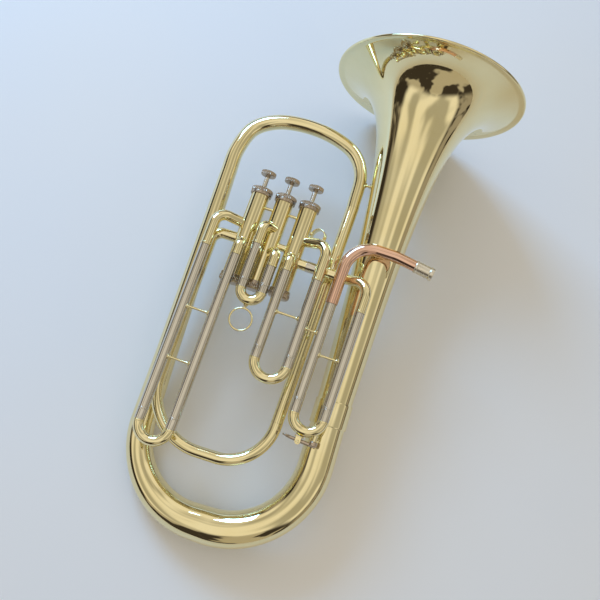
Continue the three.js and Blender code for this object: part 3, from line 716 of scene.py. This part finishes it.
def casing_space(p):
    """What a tube that meets a casing is cut back by."""
    return rod(on_valves(p, 8, VALVE_DEPTH), on_valves(p, -125, VALVE_DEPTH), CASING_RADIUS + 0.05, 96)


def small_bow():
    column = SLIDES["first"]["left"] - 1
    foot = on_valves(column, RETURN_PORT - 240, DOWN_FOOT.z)
    foot.y = SMALL_BOW_BOTTOM
    corners = [
        on_valves(-VALVE_PITCH - 4, RETURN_PORT, VALVE_DEPTH),
        on_valves(column, RETURN_PORT, VALVE_DEPTH),
        foot,
        (DOWN_FOOT.x - 1.7, SMALL_BOW_BOTTOM, 29),
        DOWN_FOOT,
    ]
    path = bent_path(corners, SMALL_BOW_BENDS, 3)
    radius = graded((0, 6.6), (0.5, 7), (1, SMALL_RADIUS))
    piece("small_bow_skin", tube(path, radius), BRASS, "small_bow", cutters=[casing_space(-VALVE_PITCH)])


# Valves


def valve(number):
    p = (number - 2) * VALVE_PITCH
    base = on_valves(p, 0, VALVE_DEPTH)
    casing_top = TOP_CAP_HIGH - CAP_WALL - GAP
    casing_low = BOTTOM_CAP_LOW + CAP_WALL + GAP
    casing = [
        (CASING_BORE, casing_low),
        (CASING_RADIUS, casing_low),
        (CASING_RADIUS, casing_top),
        (CASING_BORE, casing_top),
    ]
    piece(f"casing_{number}_skin", turned(casing, base, VALVE_UP), BRASS, f"valve_casing_{number}")

    socket = CASING_RADIUS + GAP
    top_cap = [
        (socket, TOP_CAP_LOW),
        (CAP_RADIUS - 0.6, TOP_CAP_LOW, 0.3),
        (CAP_RADIUS - 0.2, TOP_CAP_LOW + 0.7, 0.3),
        (CAP_RADIUS - 0.2, -2.9, 0.2),
        (CAP_RADIUS - 0.7, -2.6, 0.2),
        (CAP_RADIUS - 0.7, -2.2, 0.2),
        (CAP_RADIUS, -1.9, 0.2),
        (CAP_RADIUS, -1.4),
        (CAP_RADIUS, 1.0),
        (CAP_RADIUS, 1.8, 0.3),
        (CAP_RADIUS - 1.2, TOP_CAP_HIGH - 0.3, 0.6),
        (CAP_RADIUS - 3.4, TOP_CAP_HIGH - 0.15, 0.3),
        (CAP_RADIUS - 3.9, TOP_CAP_HIGH - 0.6, 0.3),
        (STEM_RADIUS + 2.4, TOP_CAP_HIGH - 0.5, 0.3),
        (STEM_RADIUS + 1.8, TOP_CAP_HIGH, 0.2),
        (STEM_RADIUS + RUN, TOP_CAP_HIGH),
        (STEM_RADIUS + RUN, TOP_CAP_HIGH - CAP_WALL),
        (socket, TOP_CAP_HIGH - CAP_WALL),
    ]
    grip = knurled(-2.0, 2.2, *CAP_KNURL)
    shape = turned(top_cap, base, VALVE_UP, KNURL_SEGMENTS, ripple=grip)
    piece(f"top_cap_{number}_skin", shape, SATIN, f"top_cap_{number}")

    bottom_cap = [
        (0, BOTTOM_CAP_LOW),
        (CAP_RADIUS - 2.4, BOTTOM_CAP_LOW, 0.8),
        (CAP_RADIUS - 0.6, BOTTOM_CAP_LOW + 1.5, 0.8),
        (CAP_RADIUS, BOTTOM_CAP_LOW + 2.6, 0.3),
        (CAP_RADIUS, BOTTOM_CAP_LOW + 3.2),
        (CAP_RADIUS, BOTTOM_CAP_LOW + 6.0),
        (CAP_RADIUS, BOTTOM_CAP_LOW + 6.6, 0.3),
        (CAP_RADIUS - 0.4, BOTTOM_CAP_LOW + 7.2, 0.3),
        (CAP_RADIUS - 0.4, BOTTOM_CAP_HIGH - 0.5, 0.3),
        (CAP_RADIUS - 0.9, BOTTOM_CAP_HIGH, 0.2),
        (socket, BOTTOM_CAP_HIGH),
        (socket, BOTTOM_CAP_LOW + CAP_WALL),
        (0, BOTTOM_CAP_LOW + CAP_WALL),
    ]
    grip = knurled(BOTTOM_CAP_LOW + 2.6, BOTTOM_CAP_LOW + 6.6, *CAP_KNURL)
    shape = turned(bottom_cap, base, VALVE_UP, KNURL_SEGMENTS, ripple=grip)
    piece(f"bottom_cap_{number}_skin", shape, SATIN, f"bottom_cap_{number}")

    radius = CASING_BORE - RUN
    stem_top = BUTTON_LOW + STEM_SEAT
    piston = [
        (0, PISTON_TOP - 8),
        (radius - 1.4, PISTON_TOP - 8),
        (radius - 1.4, PISTON_TOP - PISTON_LENGTH),
        (radius, PISTON_TOP - PISTON_LENGTH, 0.3),
        (radius, PISTON_TOP, 0.6),
        (STEM_RADIUS, PISTON_TOP, 0.4),
        (STEM_RADIUS, stem_top, 0.2),
        (0, stem_top),
    ]
    piece(f"piston_{number}_skin", turned(piston, base, VALVE_UP), NICKEL, f"piston_{number}")

    high = BUTTON_LOW + BUTTON_HEIGHT
    button = [
        (0, stem_top + GAP),
        (STEM_RADIUS + GAP, stem_top + GAP),
        (STEM_RADIUS + GAP, BUTTON_LOW),
        (STEM_RADIUS + 1.4, BUTTON_LOW, 0.2),
        (STEM_RADIUS + 1.8, BUTTON_LOW + 0.4, 0.3),
        (BUTTON_RADIUS - 1.4, BUTTON_LOW + 0.3, 0.3),
        (BUTTON_RADIUS - 0.7, BUTTON_LOW, 0.2),
        (BUTTON_RADIUS, BUTTON_LOW + 0.6, 0.2),
        (BUTTON_RADIUS, BUTTON_LOW + 1.1),
        (BUTTON_RADIUS, high - 1.1),
        (BUTTON_RADIUS, high - 0.6, 0.2),
        (BUTTON_RADIUS - 0.9, high, 0.4),
        (BUTTON_RADIUS - 1.8, high, 0.3),
        (BUTTON_RADIUS - 2.4, high - 0.5, 0.4),
        (BUTTON_RADIUS - 5.6, high - 0.9, 1.2),
        (0, high - 1.0),
    ]
    grip = knurled(BUTTON_LOW + 0.4, high - 0.4, *BUTTON_KNURL)
    shape = turned(button, base, VALVE_UP, KNURL_SEGMENTS, ripple=grip)
    piece(f"finger_button_{number}_skin", shape, SATIN, f"finger_button_{number}")


def between_casings(node, p, q, radius, wall):
    """A rod or tube from the casing at p to the next one."""
    reach = VALVE_PITCH / 2 - CASING_RADIUS + 3
    middle = p + VALVE_PITCH / 2
    ends = [on_valves(middle - reach, q, VALVE_DEPTH), on_valves(middle + reach, q, VALVE_DEPTH)]
    cutters = [casing_space(p), casing_space(p + VALVE_PITCH)]
    shape = tube(bent_path(ends), radius, wall, 48)
    piece(node + "_skin", shape, BRASS, node, cutters=cutters)


# Slides


def knuckle(node, valve_p, corners, bend):
    """A tube from a valve to a slide's sleeve, with a rounded lip where the sleeve starts."""
    points = [on_valves(*c) for c in corners]
    shape = tube(bent_path(points, (bend,), 5), KNUCKLE_RADIUS)
    down = (points[-1] - points[-2]).normalized()
    turned(lip(KNUCKLE_RADIUS - 0.1, KNUCKLE_RADIUS + 0.32, 2.4), points[-1], down, ROUND, shape)
    piece(node + "_skin", shape, BRASS, node, cutters=[casing_space(valve_p)])


def sleeve(node, p, top, seam, depth):
    ends = [on_valves(p, top - GAP, depth), on_valves(p, seam, depth)]
    shape = pipe(*ends, TUBE_RADIUS)
    bead = [
        (TUBE_RADIUS - 0.1, 0),
        (TUBE_RADIUS + 0.22, 0.15, 0.15),
        (TUBE_RADIUS + 0.22, 1.5, 0.2),
        (TUBE_RADIUS - 0.1, 1.8),
    ]
    turned(bead, ends[1], VALVE_UP, ROUND, shape)
    piece(node + "_skin", shape, NICKEL, node)


def crook(node, slide, extras=None):
    """The brass bow, and the nickel end rings and inner legs soldered to it."""
    left, right, depth = slide["left"], slide["right"], slide["depth"]
    seam, end = slide["seam"], slide["end"]
    bend = (right - left) / 2
    corners = [
        on_valves(left, end, depth),
        on_valves(left, end - bend, depth),
        on_valves(right, end - bend, depth),
        on_valves(right, end, depth),
    ]
    path = bent_path(corners, (bend - 0.01, bend - 0.01), 3)
    shape = tube(path, TUBE_RADIUS)
    collar = lip(TUBE_RADIUS - 0.1, TUBE_RADIUS + 0.25, 2.6)
    for p in (left, right):
        turned(collar, on_valves(p, end, depth), VALVE_UP, ROUND, shape)
    if extras:
        extras(shape)
    piece(node + "_bow", shape, BRASS, node)
    legs = Shape()
    inner = TUBE_RADIUS - WALL - RUN
    for p, top in ((left, slide.get("top_left", slide["top"])), (right, slide["top"])):
        pipe(on_valves(p, top - 4, depth), on_valves(p, end - 1, depth), inner, 1.2, 48, legs)
        ring = [
            (inner - 0.2, 0.05),
            (TUBE_RADIUS, 0.05),
            (TUBE_RADIUS, seam - end - GAP, 0.3),
            (inner - 0.2, seam - end - GAP),
        ]
        turned(ring, on_valves(p, end, depth), VALVE_UP, ROUND, legs)
    piece(node + "_legs", legs, NICKEL, node, replaces=False)


def brace(node, start, finish, start_radius, finish_radius, tube_axis):
    """A thin rod with a flange at each end that hugs the tube it is soldered to."""
    direction = (finish - start).normalized()
    base = start + direction * start_radius
    length = (finish - start).length - start_radius - finish_radius
    neck = min(2.6, length * 0.4)
    rim, thin = FLANGE_RADIUS, BRACE_RADIUS
    curve = [(rim, 0), (rim, 0.17), (3.1, 0.29), (2.3, 0.38), (1.9, 0.62), (thin, 1)]
    flange = [(r, share * neck) for r, share in curve]
    count = 12
    middle = []
    for k in range(1, count):
        waist = 0.25 * math.sin(math.pi * k / count)
        middle.append((thin - waist, neck + (length - 2 * neck) * k / count))
    profile = [(0, 0), *flange, *middle, *[(r, length - h) for r, h in reversed(flange)], (0, length)]
    shape = turned(profile, base, direction, 48)
    across = direction.cross(tube_axis).normalized()
    hugged = []
    for point in shape.points:
        height = (point - base).dot(direction)
        away = (point - base).dot(across)
        near_start = height < length / 2
        radius = start_radius if near_start else finish_radius
        edge = min(height, length - height)
        fade = max(0.0, 1 - edge / FLANGE_FADE)
        sag = radius - math.sqrt(max(0.0, radius**2 - min(away**2, radius**2)))
        hugged.append(point + direction * (-sag if near_start else sag) * fade)
    shape.points = hugged
    piece(node + "_skin", shape, BRASS, node)


def slide_brace(node, slide, q):
    ends = [on_valves(slide[side], q, slide["depth"]) for side in ("left", "right")]
    brace(node, *ends, TUBE_RADIUS, TUBE_RADIUS, VALVE_UP)


def first_slide():
    s = SLIDES["first"]
    p = -VALVE_PITCH
    upper, depth = UPPER_PORT - 1, s["depth"]
    left = [(p - 5, upper, VALVE_DEPTH), (s["left"], upper, depth), (s["left"], s["top"], depth)]
    port = (p, LOWER_PORT, VALVE_DEPTH + 6)
    right = [port, (s["right"], LOWER_PORT, depth), (s["right"], s["top"], depth)]
    knuckle("slide1_knuckle_left", p, left, LONG_KNUCKLE_BEND)
    knuckle("slide1_knuckle_right", p, right, SHORT_KNUCKLE_BEND)
    sleeve("slide1_sleeve_left", s["left"], s["top"], s["seam"], depth)
    sleeve("slide1_sleeve_right", s["right"], s["top"], s["seam"], depth)
    slide_brace("slide1_brace_upper", s, FIRST_BRACES_Q[0])
    slide_brace("slide1_brace_lower", s, FIRST_BRACES_Q[1])
    crook("slide1_crook", s)


def second_slide():
    s = SLIDES["second"]
    upper, depth = UPPER_PORT + 1.5, s["depth"]
    left = [(1, upper, VALVE_DEPTH + 5), (s["left"], upper, depth), (s["left"], s["top_left"], depth)]
    port = (5, LOWER_PORT, VALVE_DEPTH + 5)
    right = [port, (s["right"], LOWER_PORT, depth), (s["right"], s["top"], depth)]
    knuckle("slide2_knuckle_left", 0, left, SECOND_KNUCKLE_BEND)
    knuckle("slide2_knuckle_right", 0, right, SHORT_KNUCKLE_BEND)
    sleeve("slide2_sleeve_left", s["left"], s["top_left"], s["seam"], depth)
    sleeve("slide2_sleeve_right", s["right"], s["top"], s["seam"], depth)
    crook("slide2_crook", s)
    finger_ring()


def finger_ring():
    s = SLIDES["second"]
    middle = (s["left"] + s["right"]) / 2
    low = crook_low(s)
    centre = on_valves(middle, low - 4.5 - FINGER_RING_RADIUS, s["depth"])
    shape = torus(centre, FRONT, FINGER_RING_RADIUS, RING_WIRE)
    post = [(0, 0), (3.0, 0, 0.3), (2.7, 0.9, 0.5), (1.5, 2.2, 0.6), (1.3, 4.2), (1.3, 5.4), (0, 5.4)]
    turned(post, on_valves(middle, low, s["depth"]), -VALVE_UP, 40, shape)
    piece("finger_ring_skin", shape, BRASS, "finger_ring")


def third_slide():
    s = SLIDES["third"]
    p = VALVE_PITCH
    depth = s["depth"]
    port = (p, LOWER_PORT, VALVE_DEPTH + 6)
    left = [port, (s["left"], LOWER_PORT, depth), (s["left"], s["top"], depth)]
    port = (p + 5, UPPER_PORT, VALVE_DEPTH)
    right = [port, (s["right"], UPPER_PORT, depth), (s["right"], s["top"], depth)]
    knuckle("slide3_knuckle_left", p, left, SHORT_KNUCKLE_BEND)
    knuckle("slide3_knuckle_right", p, right, LONG_KNUCKLE_BEND)
    sleeve("slide3_sleeve_left", s["left"], s["top"], s["seam"], depth)
    sleeve("slide3_sleeve_right", s["right"], s["top"], s["seam"], depth)
    slide_brace("slide3_brace", s, THIRD_BRACE_Q)
    crook("slide3_crook", s)


def cross_tube():
    s = SLIDES["main"]
    behind = s["depth"] - LEADPIPE_RADIUS - TUBE_RADIUS - 1.1
    corners = [
        on_valves(VALVE_PITCH + 5, CROSS_PORT, behind),
        on_valves(s["left"] + 8, CROSS_PORT, behind),
        on_valves(s["right"], CROSS_PORT, s["depth"]),
        on_valves(s["right"], s["top"], s["depth"]),
    ]
    shape = tube(bent_path(corners, CROSS_BENDS), CROSS_RADIUS)
    turned(lip(TUBE_RADIUS, TUBE_RADIUS + 0.4, 2.4), corners[-1], -VALVE_UP, ROUND, shape)
    piece("cross_tube_skin", shape, BRASS, "cross_tube", cutters=[casing_space(VALVE_PITCH)])
    band = [
        (TUBE_RADIUS, 0),
        (TUBE_RADIUS + 0.45, 0.1, 0.2),
        (TUBE_RADIUS + 0.45, 11.9, 0.2),
        (TUBE_RADIUS, 12),
    ]
    shape = turned(band, on_valves(CROSS_BAND_P, CROSS_PORT, behind), along_valves(1, 0, 0), ROUND)
    piece("cross_tube_band", shape, NICKEL, "cross_tube", replaces=False)


def leadpipe_end():
    drop = (LEADPIPE_END - LEADPIPE_TURN) * math.tan(LEADPIPE_DIP)
    return on_valves(LEADPIPE_END, LEADPIPE_OVER - drop, MAIN_DEPTH)


def leadpipe():
    s = SLIDES["main"]
    corners = [
        on_valves(s["left"], s["top"], s["depth"]),
        on_valves(s["left"], LEADPIPE_OVER, s["depth"]),
        on_valves(LEADPIPE_TURN, LEADPIPE_OVER, s["depth"]),
        leadpipe_end(),
    ]
    radius = graded((0, LEADPIPE_RADIUS), (0.6, LEADPIPE_RADIUS), (1, LEADPIPE_END_RADIUS))
    piece("leadpipe_skin", tube(bent_path(corners, LEADPIPE_BENDS, 3), radius), ROSE, "leadpipe")


def receiver():
    direction = along_valves(math.cos(LEADPIPE_DIP), -math.sin(LEADPIPE_DIP), 0)
    start = leadpipe_end() - direction * RECEIVER_LAP
    socket = LEADPIPE_END_RADIUS + GAP
    length = RECEIVER_LENGTH
    profile = [
        (socket, 0),
        (RECEIVER_RADIUS - 0.4, 0, 0.3),
        (RECEIVER_RADIUS, 0.8, 0.4),
        (RECEIVER_RADIUS, 2.6, 0.3),
        (RECEIVER_RADIUS - 0.35, 3.2, 0.3),
        (RECEIVER_RADIUS - 0.5, length - 5, 0.4),
        (RECEIVER_RADIUS + 0.2, length - 4.2, 0.4),
        (RECEIVER_RADIUS + 0.2, length, 0.5),
        (RECEIVER_MOUTH, length, 0.4),
        (RECEIVER_THROAT, RECEIVER_LAP + GAP),
        (socket, RECEIVER_LAP + GAP),
    ]
    piece("receiver_skin", turned(profile, start, direction), CREAM, "mouthpiece_receiver")


def main_slide():
    s = SLIDES["main"]
    sleeve("main_sleeve_left", s["left"], s["top"], s["seam"], s["depth"])
    sleeve("main_sleeve_right", s["right"], s["top"], s["seam"], s["depth"])
    slide_brace("main_brace", s, MAIN_BRACE_Q)
    start = on_valves(SLIDES["third"]["right"], SLEEVE_STAY_Q, SLIDE_DEPTH)
    finish = on_valves(s["left"], SLEEVE_STAY_Q, s["depth"])
    brace("sleeve_stay", start, finish, TUBE_RADIUS, TUBE_RADIUS, VALVE_UP)

    def nipple(shape):
        top = on_valves(CUP_P, CUP_TOP + 7.5, s["depth"])
        pipe(top, on_valves(CUP_P, CUP_TOP, s["depth"]), 2.8, 1.2, 40, shape)

    crook("main_crook", s, nipple)


def water_key_saddle():
    """Two ears on a curved foot under the main crook, and the pin between them."""
    half = SADDLE_HALF
    shape = Shape()
    for side in (-1, 1):
        ear = []
        for away in SADDLE_DEPTHS:
            depth = MAIN_DEPTH + side * away
            outline = []
            for degrees in range(180, 361, 15):
                angle = math.radians(degrees)
                p, q = KEY_P + half * math.cos(angle), KEY_Q + half * math.sin(angle)
                outline.append(on_valves(p, q, depth))
            outline.append(on_valves(KEY_P + half, KEY_HIGH - GAP, depth))
            outline.append(on_valves(KEY_P - half, KEY_HIGH - GAP, depth))
            ear.append(outline)
        shape.grid(ear)
        shape.fan(ear[0], flipped=True)
        shape.fan(ear[1])
    rows = []
    for height in (KEY_HIGH - GAP - 1.4, KEY_HIGH):
        row = []
        for k in range(32):
            angle = 2 * math.pi * k / 32
            depth = MAIN_DEPTH + 6.2 * math.sin(angle)
            row.append(on_valves(KEY_P + 5.4 * math.cos(angle), height, depth))
        rows.append(row)
    shape.grid(rows)
    shape.fan(rows[0], flipped=True)
    shape.fan(rows[1])
    pin = [on_valves(KEY_P, KEY_Q, MAIN_DEPTH + side * 6.4) for side in (-1, 1)]
    rod(*pin, KEY_PIN_RADIUS, 32, shape)
    head = [(0, 0), (2.1, 0, 0.2), (2.1, 0.8, 0.3), (0, 1.2)]
    for side in (-1, 1):
        turned(head, on_valves(KEY_P, KEY_Q, MAIN_DEPTH + side * SADDLE_DEPTHS[1]), FRONT * side, 32, shape)
    piece("water_key_saddle_skin", shape, BRASS, "water_key_saddle")


def water_key():
    """A barrel on the pin, an arm to the cup under the nipple, and a thumb plate."""
    d = MAIN_DEPTH
    shape = Shape()
    r = KEY_BARREL_RADIUS
    barrel = [(1.5, -3.9), (r, -3.9, 0.4), (r, 3.9, 0.4), (1.5, 3.9)]
    turned(barrel, on_valves(KEY_P, KEY_Q, d), FRONT, 48, shape)
    middle = (PLATE_TOP + PLATE_LOW) / 2 - 0.6
    arm = graded((0, 1.5), (0.35, KEY_ARM_RADIUS), (1, KEY_ARM_RADIUS))
    path = divided(bent_path([on_valves(PLATE_P, middle, d), on_valves(CUP_P, KEY_Q + 0.6, d)]))
    tube(path, arm, 0, 40, shape)
    deep = CUP_TOP - GAP - CUP_LOW
    cup = [
        (0, 0),
        (CUP_RADIUS - 0.9, 0, 0.4),
        (CUP_RADIUS, 0.8, 0.4),
        (CUP_RADIUS, deep - 2.2, 0.8),
        (CUP_RADIUS - 1.8, deep - 0.3, 0.8),
        (0, deep),
    ]
    turned(cup, on_valves(CUP_P, CUP_TOP - GAP, d), -VALVE_UP, 64, shape)
    r = PLATE_RADIUS
    plate = [(0, 0.5), (r - 2.4, 0.4, 0.5), (r - 0.5, 0, 0.4), (r, 0.7, 0.4), (r - 0.5, 2.2, 0.8), (0, 3)]
    turned(plate, on_valves(PLATE_P, PLATE_TOP - GAP, d), -VALVE_UP, 64, shape)
    piece("water_key_skin", shape, SATIN, "water_key")


def bell_stay():
    start = Vector((DOWN_X - 0.3, STAY_HEIGHT, 0))
    finish = Vector((bell_axis(STAY_DROP).x, STAY_HEIGHT, 0))
    reach = bell_radius(STAY_DROP) + 0.3
    brace("bell_stay", start, finish, TOP_BOW_END_RADIUS + 0.2, reach, BELL_UP)


def thumb_ring():
    p = VALVE_PITCH + CASING_RADIUS + GAP + THUMB_RING_RADIUS
    q, depth = THUMB_RING_Q, THUMB_RING_DEPTH
    outer, inner = THUMB_RING_RADIUS, THUMB_RING_RADIUS - THUMB_RING_WALL
    band = [
        (inner, -3),
        (inner + 0.3, -4, 0.3),
        (outer - 0.4, -4, 0.3),
        (outer, -3.4, 0.3),
        (outer, 3.4, 0.3),
        (outer - 0.4, 4, 0.3),
        (inner + 0.3, 4, 0.3),
        (inner, 3),
    ]
    axis = along_valves(-math.sin(THUMB_RING_TURN), 0, math.cos(THUMB_RING_TURN))
    shape = turned(band, on_valves(p, q, depth), axis, 80)
    foot = [on_valves(VALVE_PITCH + 6, q, depth + 3.5), on_valves(p - outer + 0.8, q, depth + 1)]
    rod(*foot, 2.5, 40, shape)
    piece("thumb_ring_skin", shape, BRASS, "thumb_ring", cutters=[casing_space(VALVE_PITCH)])


bell()
bell_ferrule()
bottom_bow()
left_branch()
top_bow()
descending_branch()
small_bow()
for number in (1, 2, 3):
    valve(number)
between_casings("tie_rod_12", -VALVE_PITCH, TIE_ROD_Q, TIE_ROD_RADIUS, 0)
between_casings("tie_rod_23", 0, TIE_ROD_Q, TIE_ROD_RADIUS, 0)
between_casings("port_tube_12", -VALVE_PITCH, PORT_TUBE_Q, PORT_TUBE_RADIUS, WALL)
between_casings("port_tube_23", 0, PORT_TUBE_Q, PORT_TUBE_RADIUS, WALL)
first_slide()
second_slide()
third_slide()
cross_tube()
leadpipe()
receiver()
main_slide()
water_key_saddle()
water_key()
bell_stay()
thumb_ring()


# Floor, light and camera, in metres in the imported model's frame

FLOOR_REACH = 60  # so far that no view shows its edge
FLOOR_BLUISH = (0.88, 0.90, 0.94)
FLOOR_PLAIN = (0.92, 0.91, 0.91)
WALL_DARK, WALL_LIGHT = (0.035, 0.028, 0.022), (0.34, 0.30, 0.25)
CEILING_DIM, CEILING_BRIGHT = (0.44, 0.41, 0.34), (0.88, 0.82, 0.71)
BELOW_DARK, BELOW_LIGHT = (0.045, 0.036, 0.028), (0.46, 0.41, 0.33)
BACKDROP = (0.52, 0.49, 0.44)
WINDOW_PLACE, WINDOW_TARGET = Vector((-1.5, 1.5, 1.35)), Vector((-0.05, 0, 0))
WINDOW_SIZE = (1.1, 0.9)
WINDOW_POWER = 40  # watts
WINDOW_COLOR = (0.25, 0.56, 1.0)
# The camera's place in millimetres and its directions, in the instrument's frame
CAMERA_PLACE = (6.3, 163.5, 844)
CAMERA_BACK = Vector((0.1000, -0.1687, 0.9806))
CAMERA_RIGHT = Vector((0.9545, 0.2946, -0.0467))
CAMERA_LENS = 42
CAMERA_SENSOR = 36


def floor():
    material, nodes, links = new_material("pale_floor")
    shader = nodes["Principled BSDF"]
    shader.inputs["Roughness"].default_value = 0.75
    shader.inputs["Specular IOR Level"].default_value = 0.2
    place = nodes.new("ShaderNodeTexCoord").outputs["Object"]
    drift = spread(nodes, links, noise(nodes, links, place, 2.2, 2, 0.4), 0, 1)
    color = blend_colors(nodes, links, drift, FLOOR_BLUISH, FLOOR_PLAIN)
    links.new(color, shader.inputs["Base Color"])
    mesh = bpy.data.meshes.new("floor")
    corners = [(-1, -1), (1, -1), (1, 1), (-1, 1)]
    mesh.from_pydata([(x * FLOOR_REACH, y * FLOOR_REACH, 0) for x, y in corners], [], [(0, 1, 2, 3)])
    mesh.materials.append(material)
    plane = bpy.data.objects.new("floor", mesh)
    bpy.context.scene.collection.objects.link(plane)


def window_light():
    lamp = bpy.data.lights.new("window", "AREA")
    lamp.shape = "RECTANGLE"
    lamp.size, lamp.size_y = WINDOW_SIZE
    lamp.energy = WINDOW_POWER
    lamp.color = WINDOW_COLOR
    obj = bpy.data.objects.new("window", lamp)
    bpy.context.scene.collection.objects.link(obj)
    obj.location = WINDOW_PLACE
    obj.rotation_euler = (WINDOW_TARGET - WINDOW_PLACE).to_track_quat("-Z", "Y").to_euler()


def smooth_step(nodes, links, value, low, high):
    """0 below low, 1 above high, eased between them."""
    node = nodes.new("ShaderNodeMapRange")
    node.interpolation_type = "SMOOTHSTEP"
    node.inputs["From Min"].default_value = low
    node.inputs["From Max"].default_value = high
    links.new(value, node.inputs["Value"])
    return node.outputs["Result"]


def world():
    """A room for the metal to mirror: a warm pale ceiling, dim uneven walls, a dark side below."""
    sky = bpy.data.worlds.new("studio")
    sky.use_nodes = True
    nodes, links = sky.node_tree.nodes, sky.node_tree.links
    direction = nodes.new("ShaderNodeTexCoord").outputs["Generated"]
    split = nodes.new("ShaderNodeSeparateXYZ")
    links.new(direction, split.inputs["Vector"])
    patches = smooth_step(nodes, links, noise(nodes, links, direction, 3.2, 2, 0.5), 0.46, 0.60)
    walls = blend_colors(nodes, links, patches, WALL_DARK, WALL_LIGHT)
    ceiling = smooth_step(nodes, links, split.outputs["Z"], 0.30, 0.44)
    glow = smooth_step(nodes, links, noise(nodes, links, direction, 2.1, 1, 0.4), 0.40, 0.62)
    above = blend_colors(nodes, links, glow, CEILING_DIM, CEILING_BRIGHT)
    room = blend_colors(nodes, links, ceiling, walls, above)
    lit_side = smooth_step(nodes, links, split.outputs["Y"], -0.74, -0.62)
    gleams = smooth_step(nodes, links, noise(nodes, links, direction, 2.6, 2, 0.45), 0.50, 0.58)
    below = blend_colors(nodes, links, gleams, BELOW_DARK, BELOW_LIGHT)
    room = blend_colors(nodes, links, lit_side, below, room)
    seen = nodes.new("ShaderNodeLightPath").outputs["Is Camera Ray"]
    shown = blend_colors(nodes, links, seen, room, BACKDROP)
    links.new(shown, nodes["Background"].inputs["Color"])
    nodes["Background"].inputs["Strength"].default_value = 1
    bpy.context.scene.world = sky


def camera():
    """Looks down at the front, a little from the bell's side."""
    lens = bpy.data.cameras.new("camera")
    lens.sensor_width = CAMERA_SENSOR
    lens.lens = CAMERA_LENS
    lens.clip_start = 0.01
    obj = bpy.data.objects.new("camera", lens)
    bpy.context.scene.collection.objects.link(obj)
    back = CAMERA_BACK.normalized()
    right = (CAMERA_RIGHT - back * CAMERA_RIGHT.dot(back)).normalized()
    up = back.cross(right)
    turn = Matrix((TURN @ right, TURN @ up, TURN @ back)).transposed()
    obj.matrix_world = Matrix.Translation(to_row(CAMERA_PLACE)) @ turn.to_4x4()
    bpy.context.scene.camera = obj


floor()
world()
window_light()
camera()

bpy.context.scene.view_settings.view_transform = "Standard"
